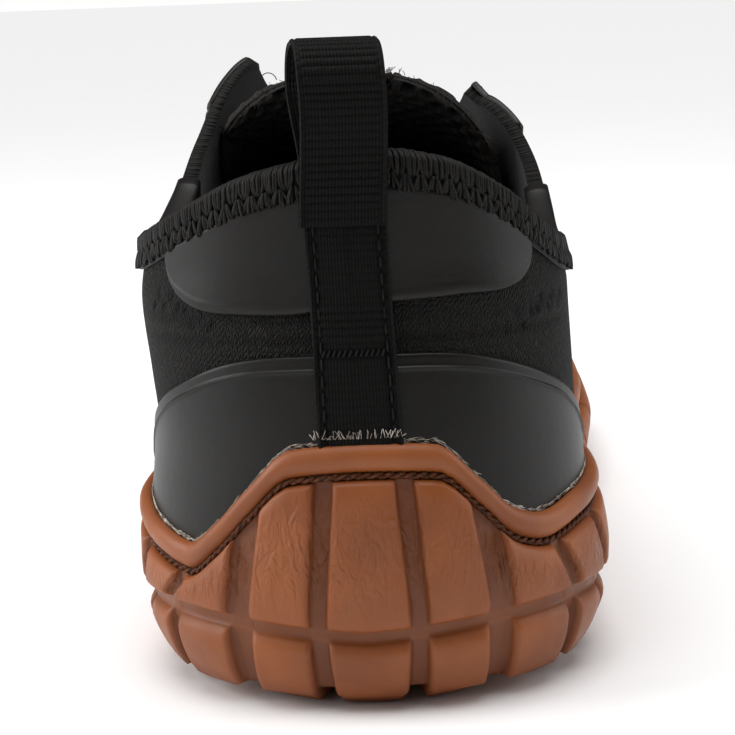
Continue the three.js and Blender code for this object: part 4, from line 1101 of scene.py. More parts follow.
def make_heel_strap():
    """The strip down the heel: fine ribs, strong ones over the knit, a stitched line inside each selvedge."""
    near = SEAM + FILM + SEAM
    low, high = RIM_HEIGHT - 1.5, COLLAR_HEIGHT - BINDING_DEPTH - SEAM
    z = np.arange(low, high, RIB_PITCH / 8)[None]
    up = (z - low) / (high - low)
    half = lerp(STRAP_HALF_FOOT, STRAP_HALF_TOP, up)
    across = TAPE_ACROSS[:, None] * half + lerp(STRAP_SHIFT_FOOT, STRAP_SHIFT_TOP, up)
    strong = smooth((z - SEAM_RIDGE_HEIGHT + 2) / 1) * (1 - smooth((z - SEAM_RIDGE_HEIGHT - 3.6) / 1))
    sewn_bar = bell(z - SEAM_RIDGE_HEIGHT + 3.4, 0.9)
    ribs, crown = rib_shape(z, TAPE_ACROSS[:, None], lerp(0.12, 0.34, strong), half)
    seam_line = bell((1 - np.abs(TAPE_ACROSS[:, None])) * half - STRAP_STITCH_INSET, 0.32)
    ribs = ribs - 0.3 * seam_line - 0.25 * sewn_bar
    # Painted shade: less of the crown highlight in the stitched grooves and under the bar tack.
    crown = crown * (1 - 0.8 * seam_line) * (1 - 0.5 * sewn_bar)
    outer = strap_point(across, z, near + WEBBING_THICKNESS * 0.75 + ribs)
    inner = strap_point(across, z, near - 0.4)
    uv = np.stack(np.broadcast_arrays(across, z), -1).reshape(-1, 2)
    points, quads = slab(outer, inner)
    # The crown mark carries the painted highlight and the painted shade in the grooves.
    make_piece("heel_strap_tape", WEBBING, points, quads, uv=np.tile(uv, (2, 1)),
               marks={"crown": np.tile(crown.ravel(), 2)}, replaces=["heel_strap"], slot="webbing")
    length, pitch = 2.0, 2.6
    starts = np.arange(low + 2, high - 3, pitch)
    share = np.linspace(0, 1, 7)[None]
    paths = []
    for side in (-1, 1):
        at = starts[:, None] + length * share
        shift = lerp(STRAP_SHIFT_FOOT, STRAP_SHIFT_TOP, (at - low) / (high - low))
        middle = side * ((STRAP_HALF_FOOT + STRAP_HALF_TOP) / 2 - STRAP_STITCH_INSET) + shift
        lift = near + WEBBING_THICKNESS * 0.75 + 0.12 - 0.45 * (2 * share - 1) ** 4
        paths.append(strap_point(middle, at, lift))
    bars = np.linspace(-4.6, 4.6, 12)
    at = SEAM_RIDGE_HEIGHT - 3.9 + 1.1 * share + 0 * bars[:, None]
    lift = near + WEBBING_THICKNESS * 0.75 + 0.15 - 0.4 * (2 * share - 1) ** 4
    paths.append(strap_point(bars[:, None] + 0.5 * share, at, lift))
    away = np.array([0, -1, 0.1])
    threads = tubes(np.concatenate(paths), SEWN_THREAD_RADIUS, away)
    make_piece("strap_stitches", THREAD, *threads, slot="webbing")
    make_frays(low + 1.0, near)


def make_frays(foot, near):
    """Loose cut ends of the warp where the strip goes into the sole: short pale hairs that lean all ways."""
    count = FRAY_COUNT
    start = rng.uniform(-6.6, 7.2, count)[:, None]
    share = np.linspace(0, 1, 5)[None]
    height = foot + 1.1 + rng.uniform(0.2, 1.5, count)[:, None] * share
    lift = near + 0.9 + rng.uniform(-0.1, 0.7, count)[:, None] * share
    paths = strap_point(start + rng.normal(0, 0.5, count)[:, None] * share, height, lift)
    make_piece("strap_frays", CEMENT, *tubes(paths, 0.05, np.array([0, -1, 0.1]), sides=4), slot="webbing")


# The tongue

def height_under(side, station, out):
    """How high the room under the upper is at a distance out from its spine."""
    side, station, out = np.broadcast_arrays(side, station, out)
    depth = -(wall_at(station, 1.0) + SEAM * 3)
    spine = spine_point(station)[..., 0]

    def far(angle):
        return np.abs(off_arch(side, station, angle, depth)[..., 0] - spine) > out

    angle = by_halving(far, np.full(out.shape, np.pi / 2), steps=18)
    return off_arch(side, station, angle, depth)[..., 2]


def tongue_grid(y, share):
    """The tongue's top face: a crown under the facings that rises to a free round end and falls sideways."""
    y, share = np.broadcast_arrays(y, share)
    side = np.where(share > 0, LATERAL, MEDIAL)
    station = station_at_length(np.minimum(y, TOE_AXIS))
    spine = spine_point(station)[..., 0]
    line = y[:, 0]

    def under_edges(at):
        where = station_at_length(at)
        tops = [arch_point(s, where, arch_end(s, where))[..., 2] for s in (LATERAL, MEDIAL)]
        return np.minimum(*tops) - UPPER_WALL * 0.6

    free = np.clip((WING_FROM_HEEL - line) / (WING_FROM_HEEL - TONGUE_TOP), 0, 1)
    rising = lerp(under_edges(np.array(WING_FROM_HEEL)), TONGUE_HEIGHT, free**1.2)
    vamp = ridge_height(line) - UPPER_WALL - SEAM * 3
    held = under_edges(np.maximum(line, WING_FROM_HEEL))
    crown = np.where(line >= WING_FROM_HEEL, held, rising)
    crown = np.where(line >= THROAT_END - THROAT_END_ROUND, vamp, crown)
    centre = spine + TONGUE_SHIFT * smooth((TONGUE_FOOT - y) / (TONGUE_FOOT - TONGUE_TOP))
    reach = footprint_reach(side, station, UPPER_INSET)
    taper = lerp(0.72, 1, smooth((TONGUE_FOOT - y) / (TONGUE_FOOT - WING_FROM_HEEL)))
    room = reach * 0.86 - UPPER_WALL - side * (centre - spine) + np.clip((WING_FROM_HEEL - y) * 0.2, 0, 2)
    round_end = np.maximum(np.sqrt(1 - free**3), 0.3)[:, None]
    across = np.minimum(TONGUE_WIDTH / 2 * taper, room) * round_end * share
    loose = 2 * np.abs(across) / (TONGUE_WIDTH * 1.03)
    fall = TONGUE_DROP * (1 - (1 - loose**2.5) ** (1 / 2.5))
    x = centre + across
    under = height_under(side, station, np.abs(x - spine))
    top = np.minimum(crown[:, None] - fall, np.where(y >= WING_FROM_HEEL - 10, under, 1e9))
    return np.stack([x, y, top], -1)


def cell_distance(u, v):
    """Distance from the middle of the nearest cell of a hexagonal net, between round and six-sided."""
    across, along = CELL_PITCH, CELL_PITCH * np.sqrt(3)
    found = []
    for shift in (0, 0.5):
        a = (u + shift * across + across / 2) % across - across / 2
        b = (v + shift * along + along / 2) % along - along / 2
        six = np.maximum(np.abs(a), np.abs(a) / 2 + np.abs(b) * np.sqrt(3) / 2)
        found.append(lerp(six, np.hypot(a, b), 0.5))
    return np.minimum(*found)


def make_tongue():
    """Spacer mesh on both faces, with open cells between round webs, and a thick rounded edge."""
    free = WING_FROM_HEEL - (WING_FROM_HEEL - TONGUE_TOP) * np.sin(np.linspace(0, np.pi / 2, 100))[1:]
    steps = np.concatenate([np.linspace(TONGUE_FOOT, TONGUE_FINE_FROM, 90),
                            np.linspace(TONGUE_FINE_FROM, WING_FROM_HEEL, 90)[1:], free])
    even = np.linspace(-1, 1, 137)
    share = np.sin(even * np.pi / 2) * 0.3 + even * 0.7
    middle = len(even) // 2
    top = tongue_grid(steps[:, None], share[None])
    run = run_along(top[:, middle])
    across = run_along(top, 1)
    across = across - across[:, middle : middle + 1]
    wobble = 0.22 * np.sin(across * 0.9) * np.sin(run[:, None] * 0.7)
    cell = cell_distance(across + wobble, run[:, None] + wobble)
    web = smooth((cell - CELL_SIZE / 2 + 0.25) / 0.5)
    end = (run[-1] - run)[:, None]
    rim = (1 - np.abs(share))[None] * TONGUE_WIDTH / 2
    well = smooth((rim - 0.8) / 0.8)
    web = 1 - (1 - web) * well
    round_edge = np.sqrt(1 - (1 - np.clip(np.minimum(end, rim) / 2, 0, 1)) ** 2)
    half = TONGUE_THICKNESS / 2 * (1 - 0.35 * np.abs(share[None]) ** 4)
    core = top - np.stack(np.broadcast_arrays(0, 0, half), -1)
    normal = unit(np.cross(np.gradient(core, axis=1), np.gradient(core, axis=0)))
    normal = normal * np.where(normal[..., 2:] < 0, -1, 1)
    thick = half * round_edge
    knot = 0.18 * (1 - bell(cell - CELL_PITCH / 2, 0.35)) * web
    reach = normal * (thick - CELL_DEPTH * (1 - web) * round_edge - knot)[..., None]
    outer, inner = core + reach, core - reach
    points, quads = slab(outer, inner)
    piece = make_piece("tongue_spacer_mesh", MESH_CLOTH, points, quads, replaces=["tongue"],
                       marks={"web": np.tile(web.ravel(), 2)}, slot="spacer_mesh")
    make_fuzz(core, thick, web)


def make_fuzz(core, thick, web):
    """Fine fibres that stand off the webs round the tongue's free edge, and one stray loop."""
    count = FUZZ_COUNT
    row = rng.integers(len(core) - 70, len(core) - 2, count)
    place = rng.integers(2, core.shape[1] - 2, count)
    keep = web[row, place] > 0.6
    base = core[row, place][keep]
    tilt = rng.normal(0, 1, base.shape) + [0, -0.9, 0.5]
    share = np.linspace(0, 1, 6)[None, :, None]
    bend = rng.normal(0, 0.35, base.shape)[:, None]
    reach = thick[row, place][keep][:, None, None] + rng.uniform(0.3, 1.0, len(base))[:, None, None] * share
    paths = base[:, None] + unit(tilt)[:, None] * reach + bend * share**2
    turn = np.linspace(0.3, 5.2, 16)
    stray = core[-30, 6] + np.stack([1.6 * np.cos(turn) - 1.2, -0.8 * turn / 5, 1.9 * np.sin(turn) + 1.0], -1)
    points, quads = joined(tubes(paths, 0.06, np.array([0.2, -1, 0.3]), sides=4),
                           tubes(stray[None], 0.09, np.array([0.2, -1, 0.3]), sides=5))
    make_piece("tongue_fuzz", THREAD, points, quads, slot="spacer_mesh")


# The facings round the throat

def eyestay_foot(side, station):
    """The angle at which the arch reaches the facing's outline, drawn from above."""
    spine = spine_point(station)
    out = EYESTAY_WIDTH * eyestay_out((spine[..., 1] - EYESTAY_BACK) / (EYESTAY_FRONT - EYESTAY_BACK))

    def far(angle):
        return np.abs(arch_point(side, station, angle)[..., 0] - spine[..., 0]) > out

    return by_halving(far, np.full(station.shape, np.pi / 2))


def eyelet_places(side):
    """The stations and angles of the eyelets' middles, all at one distance from the throat's edge."""
    station = station_at_length(np.linspace(FIRST_EYELET, LAST_EYELET, EYELET_PAIRS))
    end = arch_end(side, station)
    edge = arch_point(side, station, end)

    def far(angle):
        return np.linalg.norm(arch_point(side, station, angle) - edge, axis=-1) > EYELET_INSET

    return station, by_halving(far, end)


def make_eyestay():
    """Smooth facing with rounded edges, punched holes and a stitched groove inside its edges."""
    back, straight = station_at_length(EYESTAY_BACK), station_at_length(THROAT_END - THROAT_END_ROUND)
    turn = np.linspace(0, np.pi / 2, 12)[1:]
    throat = station_at_length(THROAT_END - THROAT_END_ROUND * (1 - np.sin(turn)))
    stations = np.concatenate([np.linspace(back, straight, 190), throat,
                               np.linspace(throat[-1], station_at_length(EYESTAY_FRONT), 30)[1:]])
    side = np.concatenate([np.full(len(stations), LATERAL), np.full(len(stations), MEDIAL)])
    station = np.concatenate([stations, stations[::-1]])
    foot, end = eyestay_foot(side, station), arch_end(side, station)
    down = np.concatenate([[0, 0.01, 0.03], np.linspace(0.06, 0.94, 56), [0.97, 0.99, 1]])
    angle = lerp(foot[:, None], end[:, None], down)
    width = np.linalg.norm(arch_point(side, station, end) - arch_point(side, station, foot), axis=-1)[:, None]
    from_foot, from_edge = down * width, (1 - down) * width
    vamp = is_vamp(station)
    from_edge = np.where(vamp[:, None], 99, from_edge)
    edge = np.clip(np.minimum(from_foot, from_edge) / 0.5, 0, 1)
    line = bell(np.minimum(from_foot, from_edge) - FACING_STITCH_INSET, 0.3)
    lift = SEAM + FILM * np.sqrt(1 - (1 - edge) ** 2) - 0.2 * line
    outer = off_arch(side[:, None], station[:, None], angle, lift)
    inner = off_arch(side[:, None], station[:, None], angle, np.full(lift.shape, -FILM_SINK))
    joint = (vamp & np.roll(vamp, -1))[:-1]
    points, quads = slab(outer, inner, skip_top=joint)
    piece = make_piece("eyestay_film", FILM_FINISH, points, quads, replaces=["eyestay"], slot="film")
    punch(piece)
    make_eyestay_stitches(side, station, foot, end)


def punch(piece):
    """Cuts the lace holes, and a row of small holes on each top, out of the facing with one Boolean."""
    middles, normals, radii = [], [], []
    for side in (LATERAL, MEDIAL):
        station, angle = eyelet_places(side)
        middles.append(arch_point(side, station, angle))
        normals.append(arch_normal(side, station, angle))
        radii.append(np.full(len(station), EYELET_RADIUS))
        y = np.linspace(WING_FROM_HEEL - 2, FIRST_EYELET - 8, 6)
        station = station_at_length(y)
        angle = lerp(eyestay_foot(np.full(6, side), station), arch_end(side, station), 0.55)
        middles.append(arch_point(side, station, angle))
        normals.append(arch_normal(side, station, angle))
        radii.append(np.array([1.0, 0.9, 0.8, 0.7, 0.7, 0.7]))
    middles, normals, radii = np.concatenate(middles), np.concatenate(normals), np.concatenate(radii)
    paths = middles[:, None] + normals[:, None] * np.array([-3.0, 3.0])[None, :, None]
    sideways = np.where(np.abs(normals[:, :1]) < 0.9, [[1.0, 0, 0]], [[0, 1.0, 0]])
    points, quads = tubes(paths, radii[:, None], unit(np.cross(normals, sideways))[:, None], sides=24)
    mesh = bpy.data.meshes.new("punches")
    mesh.from_pydata(to_frame(points).tolist(), [], outward(to_frame(points), quads).tolist())
    cutter = bpy.data.objects.new("punches", mesh)
    bpy.context.scene.collection.objects.link(cutter)
    cut = piece.modifiers.new("punch", "BOOLEAN")
    cut.operation, cut.object, cut.solver = "DIFFERENCE", cutter, "MANIFOLD"
    shape = bpy.data.meshes.new_from_object(piece.evaluated_get(bpy.context.evaluated_depsgraph_get()))
    piece.modifiers.clear()
    piece.data = shape
    bpy.data.objects.remove(cutter)


def make_eyestay_stitches(side, station, foot, end):
    """Running stitches in the groove inside the facing's edges."""
    share = np.linspace(0, 1, 7)[None]
    paths = []
    width = np.linalg.norm(arch_point(side, station, end) - arch_point(side, station, foot), axis=-1)
    for hand in (LATERAL, MEDIAL):
        mine = side == hand
        order = np.argsort(station[mine])
        line, low, high, wide = (a[mine][order] for a in (station, foot, end, width))
        for near_foot in (True, False):
            last = station_at_length(EYESTAY_FRONT - 3 if near_foot else THROAT_END - THROAT_END_ROUND)
            starts = np.arange(line[0] + 0.01, last, STITCH_PITCH / MID_LENGTH)[:, None]
            at = starts + STITCH_LENGTH / MID_LENGTH * share
            inset = np.interp(at, line, FACING_STITCH_INSET / wide)
            down = inset if near_foot else 1 - inset
            angle = lerp(np.interp(at, line, low), np.interp(at, line, high), down)
            lift = SEAM + FILM - 0.02 - 0.3 * (2 * share - 1) ** 4
            paths.append(off_arch(hand, at, angle, lift))
    threads = tubes(np.concatenate(paths), SEWN_THREAD_RADIUS, np.array([0, 0.1, 1.0]))
    make_piece("eyestay_stitches", THREAD, *threads, slot="film")


def make_lace():
    """Flat woven lace: from each eyelet across the tongue to the next, dipping into the holes."""
    lift = SEAM * 3.5 + FILM + LACE_THICKNESS / 2
    holes = {side: eyelet_places(side) for side in (LATERAL, MEDIAL)}
    links = [(EYELET_PAIRS - 1, EYELET_PAIRS - 1, 0.0)]
    for k in range(EYELET_PAIRS - 1):
        links += [(k, k + 1, 0.0), (k + 1, k, LACE_THICKNESS)]
    parts, marks, maps = [], [], []
    share = np.linspace(0, 1, 61)
    turn = np.linspace(0, 2 * np.pi, 21)[:-1]
    for i, j, over in links:
        ends, ups, edges = [], [], []
        for side, k in ((LATERAL, i), (MEDIAL, j)):
            station, angle = (a[k] for a in holes[side])
            ends.append(off_arch(side, station, angle, lift))
            ups.append(arch_normal(side, station, angle))
            edges.append(off_arch(side, station, arch_end(side, station), lift))
        a, b = ends
        straight = lerp(a, b, share[:, None])
        crest = (edges[0][2] + edges[1][2]) / 2 + over + 0.6
        rise = np.sin(np.pi * share) ** 0.7 * (crest - (a[2] + b[2]) / 2)
        path = straight + np.stack([0 * share, 0 * share, rise], -1)
        dip = bell(share, 0.035)[:, None] * ups[0] + bell(1 - share, 0.035)[:, None] * ups[1]
        path = path - dip * (lift + 1.2)
        tangent = unit(np.gradient(path, axis=0))
        up = unit(lerp(ups[0], ups[1], share[:, None]))
        across = unit(np.cross(up, tangent))
        up = np.cross(tangent, across)
        narrow = 1 - 0.35 * (bell(share, 0.07) + bell(1 - share, 0.07))
        ring_x = np.sign(np.cos(turn)) * np.abs(np.cos(turn)) ** 0.5 * LACE_WIDTH / 2
        ring_z = np.sign(np.sin(turn)) * np.abs(np.sin(turn)) ** 0.8 * LACE_THICKNESS / 2
        ring = across[:, None] * (ring_x * narrow[:, None])[..., None] + up[:, None] * ring_z[None, :, None]
        run = run_along(path)
        parts.append(ringed_body(path[:, None] + ring))
        maps.append(np.stack(np.broadcast_arrays(ring_x[None], run[:, None] * 0.6), -1).reshape(-1, 2))
        # Painted highlight: an even share of the webbing's crown lightening along the whole lace.
        marks.append(np.full(len(maps[-1]), 0.8))
    points, quads = joined(*parts)
    make_piece("lace_woven", WEBBING, points, quads, uv=np.concatenate(maps), replaces=["lace"],
               marks={"crown": np.concatenate(marks)}, slot="webbing")


# The sole

def side_blocks():
    """The side's blocks from the heel's back to the toe's tip, each with start and end at three levels."""
    first = np.array(HEEL_BLOCKS[-1][1]) + BLOCK_GAP
    last = HALF_GIRTH - np.array(CENTRE_BLOCK) - BLOCK_GAP
    blocks = [(np.zeros(3), np.array(CENTRE_BLOCK, float))]
    blocks += [(np.array(start, float), np.array(end, float)) for start, end in HEEL_BLOCKS]
    for k in range(PLAIN_BLOCKS):
        start = lerp(first, last + BLOCK_GAP, k / PLAIN_BLOCKS)
        end = lerp(first, last + BLOCK_GAP, (k + 1) / PLAIN_BLOCKS) - BLOCK_GAP
        blocks.append((start, end))
    blocks.append((HALF_GIRTH - np.array(CENTRE_BLOCK), np.full(3, HALF_GIRTH)))
    return blocks


def sole_columns():
    """Girths at three levels, and how far each column stands out: 1 on a block, 0 between two."""
    girths, raised = [], []
    blocks = side_blocks()
    for k, (start, end) in enumerate(blocks):
        length = end[1] - start[1]
        whole_start, whole_end = k == 0, k == len(blocks) - 1
        inner = np.arange(EDGE_STEPS[-1] + 1.6, length - EDGE_STEPS[-1] - 1, 2.2)
        left = [] if whole_start else EDGE_STEPS
        right = [] if whole_end else length - EDGE_STEPS[::-1]
        middle = inner if len(inner) else [length / 2]
        begin = [0] if whole_start else []
        finish_at = [length] if whole_end else []
        places = np.unique(np.concatenate([begin, left, middle, right, finish_at]))
        from_start = np.full(places.shape, 99.0) if whole_start else places
        from_end = np.full(places.shape, 99.0) if whole_end else length - places
        near = np.clip(np.minimum(from_start, from_end) / EDGE_ROUND, 0, 1)
        girths.append(start + (end - start) * (places / length)[:, None])
        raised.append(np.sqrt(1 - (1 - near) ** 2))
        if k < len(blocks) - 1:
            gap = blocks[k + 1][0] - end
            shares = np.linspace(0, 1, 2 + int(max(gap) // 2.5) + 2)[1:-1]
            girths.append(end + gap * shares[:, None])
            raised.append(np.zeros(shares.shape))
    return np.concatenate(girths), np.concatenate(raised)


def rim_out(side, station, z):
    return plan_reach(side, station, z) + SEAM + RIM_THICKNESS - footprint_reach(side, station)


def wall_out(side, station, z):
    """How far the bare side wall lies out from the footprint: tucked under, widest, then in to the rim."""
    widest = RIM_HEIGHT * widest_share(station)
    low = np.clip((widest - z) / (widest * 1.03), 0, 1)
    rim = rim_top(side, station) - RIM_BEAD
    high = np.clip((z - widest) / (rim - widest), 0, 1)
    tucked = -FOOT_TUCK * (1 - np.sqrt(1 - low**2))
    return np.where(z < widest, tucked, rim_out(side, station, rim) * high**1.6)


def sole_section(side, girths, raised):
    """Rows of the sole's section: up the inside, over the bead, groove, block, step, lug and under, with a
    painted shade share and a wrinkle share for each row.
    """
    def station_at(level):
        low, high = (0, 1) if level < 1 else (1, 2)
        return station_at_girth(lerp(girths[:, low], girths[:, high], level - low))

    top = station_at(0)
    rim = rim_top(side, top)
    # deep holds each row's painted shade: how far the rubber's colour is darkened where shade falls.
    rows, deep, wrinkle = [], [], []

    def put(point, shade=0.0, crease=0.0):
        rows.append(point)
        deep.append(np.broadcast_to(shade, raised.shape))
        wrinkle.append(np.broadcast_to(crease, raised.shape))

    def inside(z, out):
        reach = plan_reach(side, top, np.maximum(z, SOLE_FLOOR + 0.5)) + SEAM + out
        return point_at_reach(side, top, reach, z)

    def outside(level, z, relief):
        station = station_at(level)
        reach = footprint_reach(side, station) + wall_out(side, station, z) - BLOCK_RELIEF + relief * raised
        return point_at_reach(side, station, reach, z)

    put(inside(np.full(rim.shape, SOLE_FLOOR), 0.0))
    for share in (0.3, 0.6, 0.85):
        put(inside(lerp(SOLE_FLOOR, rim, share), 0.0))
    middle = RIM_THICKNESS / 2
    for turn in np.radians(np.arange(150, -61, -15)):
        out = middle + middle * np.cos(turn)
        z = rim - RIM_BEAD * 0.5 + RIM_BEAD * 0.5 * np.sin(turn)
        put(inside(z, out))
    groove_z = rim - RIM_BEAD - GROOVE * 0.5
    # The groove's rows get painted shade.
    for drop, out, shade in ((-0.45, 1.5, 0.6), (-0.2, 1.1, 1.0), (0.15, 1.0, 1.0), (0.45, 1.15, 0.8)):
        put(inside(groove_z - drop - 0.1, out), shade)
    block_top = rim - RIM_BEAD - GROOVE
    forwards = lerp(1, 0.8, np.clip(top - 1, 0, 1))
    band = LUG_BAND * forwards * (1 + 0.18 * np.sin(np.minimum(top, 1) * np.pi))
    # Painted shade between the blocks: full in the gaps, none on the blocks' faces.
    painted_gap_shade = 0.55 * (1 - raised)
    for drop, rise in ((0.0, 0.0), (0.12, 0.45), (0.3, 0.7), (0.6, 0.9), (1.0, 1.0)):
        put(outside(0.02, block_top - drop, BLOCK_RELIEF * rise), painted_gap_shade)
    foot = band + 3.0
    for share in np.linspace(0.1, 0.96, 12):
        z = lerp(block_top - 1.0, foot + 0.9, share)
        put(outside(share, z, BLOCK_RELIEF), painted_gap_shade, np.sin(share * np.pi))
    for drop, rise in ((0.6, 0.9), (0.3, 0.7), (0.12, 0.45), (0.0, 0.0)):
        put(outside(0.99, foot + drop, BLOCK_RELIEF * rise), painted_gap_shade)
    # Painted shade under the step where the lugs tuck in.
    put(outside(1.02, foot - 0.5, -0.1), 0.45)
    put(outside(1.05, foot - 1.3, -0.15), 0.5)
    put(outside(1.08, foot - 2.0, -0.05), 0.35)
    for drop, rise in ((0.0, 0.2), (0.3, 0.45), (1.1, 0.8), (1.9, 1.02), (2.8, 1.12)):
        put(outside(1.1, band + 0.7 - drop, BLOCK_RELIEF * rise), painted_gap_shade)
    for share in np.linspace(0.15, 0.85, 6):
        z = lerp(band - 1.8, 1.4, share)
        low_end = np.maximum(z, LUG_DEPTH + 0.8)
        put(outside(1.1 + 0.85 * share, lerp(low_end, z, raised), BLOCK_RELIEF * 1.12), painted_gap_shade)
    station = station_at(2)
    arch_share = np.sin(np.pi * np.clip((station - 1.1) / 0.6, 0, 1)) ** 2
    arch = lug_lift(station) + ARCH_LIFT * np.where(side > 0, 0.35, 1) * arch_share
    base = footprint_reach(side, station)

    def underfoot(back, z):
        tucked = base + wall_out(side, station, np.zeros(base.shape)) - back
        return point_at_reach(side, station, np.maximum(tucked, base * 0.3), z)

    floor_z = lerp(LUG_DEPTH, arch, raised)
    for back, rise in ((-0.35, 0.8), (0.1, 0.35), (0.8, 0.08), (1.6, 0.0)):
        put(underfoot(back + 1.4 * (1 - raised), floor_z + rise), painted_gap_shade)
    put(underfoot(LUG_REACH * 0.5, lerp(LUG_DEPTH, arch * 0.7, raised)), painted_gap_shade)
    put(underfoot(LUG_REACH - 0.9, lerp(LUG_DEPTH, arch * 0.4, raised)), painted_gap_shade)
    # Painted shade at the lugs' under edges.
    put(underfoot(LUG_REACH - 0.3, lerp(LUG_DEPTH, 1.0, raised * 0.6)), 0.4)
    put(underfoot(LUG_REACH, np.full(base.shape, LUG_DEPTH)), 0.5)
    return np.stack(rows), np.stack(deep), np.stack(wrinkle)


def make_outsole():
    girths, raised = sole_columns()
    lateral, medial = (sole_section(side, girths, raised) for side in (LATERAL, MEDIAL))
    rings, deep, wrinkle = (np.concatenate([a, b[:, -2:0:-1]], 1) for a, b in zip(lateral, medial))
    points, quads = ringed_body(rings)
    # The deep mark is the painted shade in the gum's recesses.
    make_piece("gum_outsole", GUM, points, quads, marks={"deep": deep, "wrinkle": wrinkle},
               replaces=["outsole"], slot="gum")


def make_seam_rope():
    """Two waxed threads twisted round each other in the groove under the rim, all the way round."""
    half = np.arange(0, HALF_GIRTH, 0.5)
    side = np.concatenate([np.full(len(half), LATERAL), np.full(len(half) - 1, MEDIAL)])
    girth = np.concatenate([half, half[:0:-1]])
    station = station_at_girth(girth)
    z = rim_top(side, station) - RIM_BEAD - GROOVE * 0.5 - 0.05
    base = point_at_reach(side, station, plan_reach(side, station, z) + SEAM + 1.75, z)
    base = np.concatenate([base, base[:1]])
    plan = base[:, :2] - spine_point(np.append(station, station[0]))
    away = unit(np.concatenate([plan, 0 * base[:, 2:]], -1))
    run = run_along(base)
    turns = np.round(run[-1] / TWIST_PITCH)
    phase = run / run[-1] * turns * 2 * np.pi
    strands = []
    for start in (0, np.pi):
        out = TWIST_RADIUS * np.cos(phase + start)[:, None] * away
        up = TWIST_RADIUS * np.sin(phase + start)
        strands.append(base + out + np.stack([0 * phase, 0 * phase, up], -1))
    threads = tubes(np.stack(strands), ROPE_THREAD_RADIUS, away[None])
    make_piece("seam_rope", SOLE_THREAD, *threads, slot="gum")


def make_cement_line():
    """A broken pale line of cement and lint where the upper goes into the rim, thickest round the heel."""
    count = LINT_COUNT
    girth = rng.uniform(-HEEL_GIRTH * 1.5, HEEL_GIRTH * 1.5, count)[:, None]
    share = np.linspace(0, 1, 6)[None]
    length = rng.uniform(0.5, 2.4, count)[:, None]
    side, station = girth_pairs(girth + (share - 0.5) * length)
    z = rim_top(side, station) + 0.1 + rng.uniform(-0.15, 0.45, count)[:, None]
    z = z + rng.normal(0, 0.25, count)[:, None] * share
    reach = plan_reach(side, station, z) + SEAM + FILM + 0.12
    paths = point_at_reach(side, station, reach, z)
    radius = rng.uniform(0.03, 0.09, count)[:, None] * np.sin(np.pi * (share * 0.9 + 0.05))
    make_piece("cement_line", CEMENT, *tubes(paths, radius, np.array([0, 0, 1.0]), sides=4), slot="gum")


def make_insole():
    """The sock liner: a flat pad whose top is slightly cupped at its edge."""
    side, station = full_round(np.concatenate([np.linspace(0, 1, 40), np.linspace(1, 2, 40)[1:],
                                               np.linspace(2, 3, 40)[1:]]))
    low = SOLE_FLOOR + SEAM
    high = low + INSOLE_THICKNESS
    reach = plan_reach(side, station, np.full(station.shape, high)) - UPPER_WALL - SEAM * 2.5

    def ring(inset, z):
        return point_at_reach(side, station, reach - inset, np.full(reach.shape, z))

    rings = np.stack([ring(9.0, high - 0.9), ring(5.0, high - 0.7), ring(2.0, high - 0.1), ring(0.8, high),
                      ring(0.0, high - 0.5), ring(0.0, low + 0.3), ring(0.6, low)])
    points, quads = ringed_body(rings)
    make_piece("sock_liner", SOCK_CLOTH, points, quads, replaces=["insole"], slot="foam")


# Camera, light and floor: the photograph's view from behind the heel, which leans about two degrees
VIEW_TURN, VIEW_LIFT, VIEW_ROLL = np.radians([2.1, 10.0, -2.18])
VIEW_DISTANCE = 320.0
VIEW_TARGET = np.array([5.4, -0.13, 56.0])
FOCAL_PIXELS, PHOTO_PIXELS, SENSOR = 2128.0, 735.0, 36.0
# Soft boxes: name, place in metres, size in metres and power in watts
SOFT_BOXES = (
    ("key_left", (-0.8, -0.12, 0.4), 0.6, 6.4),
    ("strip_right", (0.8, 0.0, 0.35), 0.6, 2.6),
    ("front_left", (-0.5, -0.9, 0.5), 0.5, 0.8),
)
# Light from the white surround as seen by the shoe, as a share of what the camera sees
AMBIENT = 0.08
SUN_STRENGTH, SUN_ANGLE = 2.9, 1.0
FLOOR_REACH = 40.0


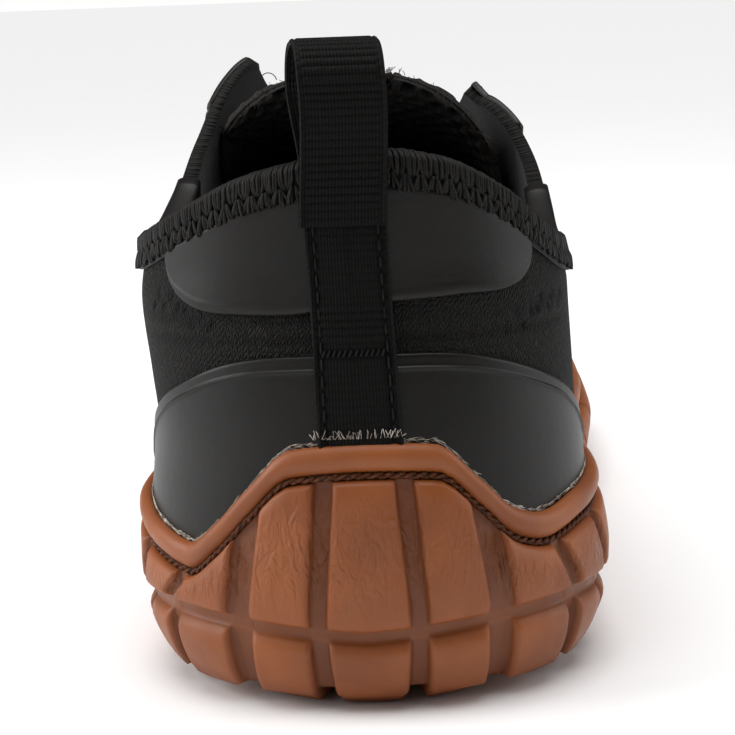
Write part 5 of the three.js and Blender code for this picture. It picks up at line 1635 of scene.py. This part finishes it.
def make_camera():
    back = np.array([np.sin(VIEW_TURN) * np.cos(VIEW_LIFT), -np.cos(VIEW_TURN) * np.cos(VIEW_LIFT),
                     np.sin(VIEW_LIFT)])
    right = np.array([np.cos(VIEW_TURN), np.sin(VIEW_TURN), 0])
    up = np.cross(right, -back)
    rolled = right * np.cos(VIEW_ROLL) + up * np.sin(VIEW_ROLL)
    upright = -right * np.sin(VIEW_ROLL) + up * np.cos(VIEW_ROLL)
    place = (VIEW_TARGET + [0, FRAME_Y, 0] + back * VIEW_DISTANCE) / 1000
    data = bpy.data.cameras.new("photo_view")
    data.sensor_width = SENSOR
    data.lens = FOCAL_PIXELS / PHOTO_PIXELS * SENSOR
    data.clip_start = 0.01
    camera = bpy.data.objects.new("photo_view", data)
    turn = Matrix(np.stack([rolled, upright, back], 1).tolist()).to_4x4()
    camera.matrix_world = Matrix.Translation(place.tolist()) @ turn
    bpy.context.scene.collection.objects.link(camera)
    bpy.context.scene.camera = camera


def soft_light(name, place, size, power):
    """A square soft box that looks at the middle of the shoe's heel."""
    data = bpy.data.lights.new(name, "AREA")
    data.energy, data.size = power, size
    light = bpy.data.objects.new(name, data)
    light.location = place
    aim = Vector((0, -0.08, 0.05)) - Vector(place)
    light.rotation_euler = aim.to_track_quat("-Z", "Y").to_euler()
    bpy.context.scene.collection.objects.link(light)


def make_stage():
    """A floor far wider than the picture, a white surround, soft boxes and a broad light above."""
    reach = FLOOR_REACH
    mesh = bpy.data.meshes.new("floor")
    mesh.from_pydata([(-reach, -reach, 0), (reach, -reach, 0), (reach, reach, 0), (-reach, reach, 0)], [],
                     [(0, 1, 2, 3)])
    mesh.materials.append(floor_paint())
    floor = bpy.data.objects.new("floor", mesh)
    bpy.context.scene.collection.objects.link(floor)
    world = bpy.data.worlds.new("studio")
    world.use_nodes = True
    tree = world.node_tree
    seen = add(tree, "LightPath").outputs["Is Camera Ray"]
    strength = calc(tree, "MULTIPLY_ADD", seen, 1 - AMBIENT, AMBIENT)
    background = tree.nodes["Background"]
    background.inputs[0].default_value = linear("#FFFFFF")
    tree.links.new(strength, background.inputs[1])
    bpy.context.scene.world = world
    for box in SOFT_BOXES:
        soft_light(*box)
    sun = bpy.data.lights.new("even_top", "SUN")
    sun.energy, sun.angle = SUN_STRENGTH, SUN_ANGLE
    bpy.context.scene.collection.objects.link(bpy.data.objects.new("even_top", sun))


make_camera()
make_stage()
bpy.context.scene.view_settings.view_transform = "Standard"
make_upper()
make_heel_film()
make_collar_patch()
make_binding()
make_overlock()
make_pull_loop()
make_heel_strap()
make_tongue()
make_eyestay()
make_lace()
make_outsole()
make_seam_rope()
make_cement_line()
make_insole()
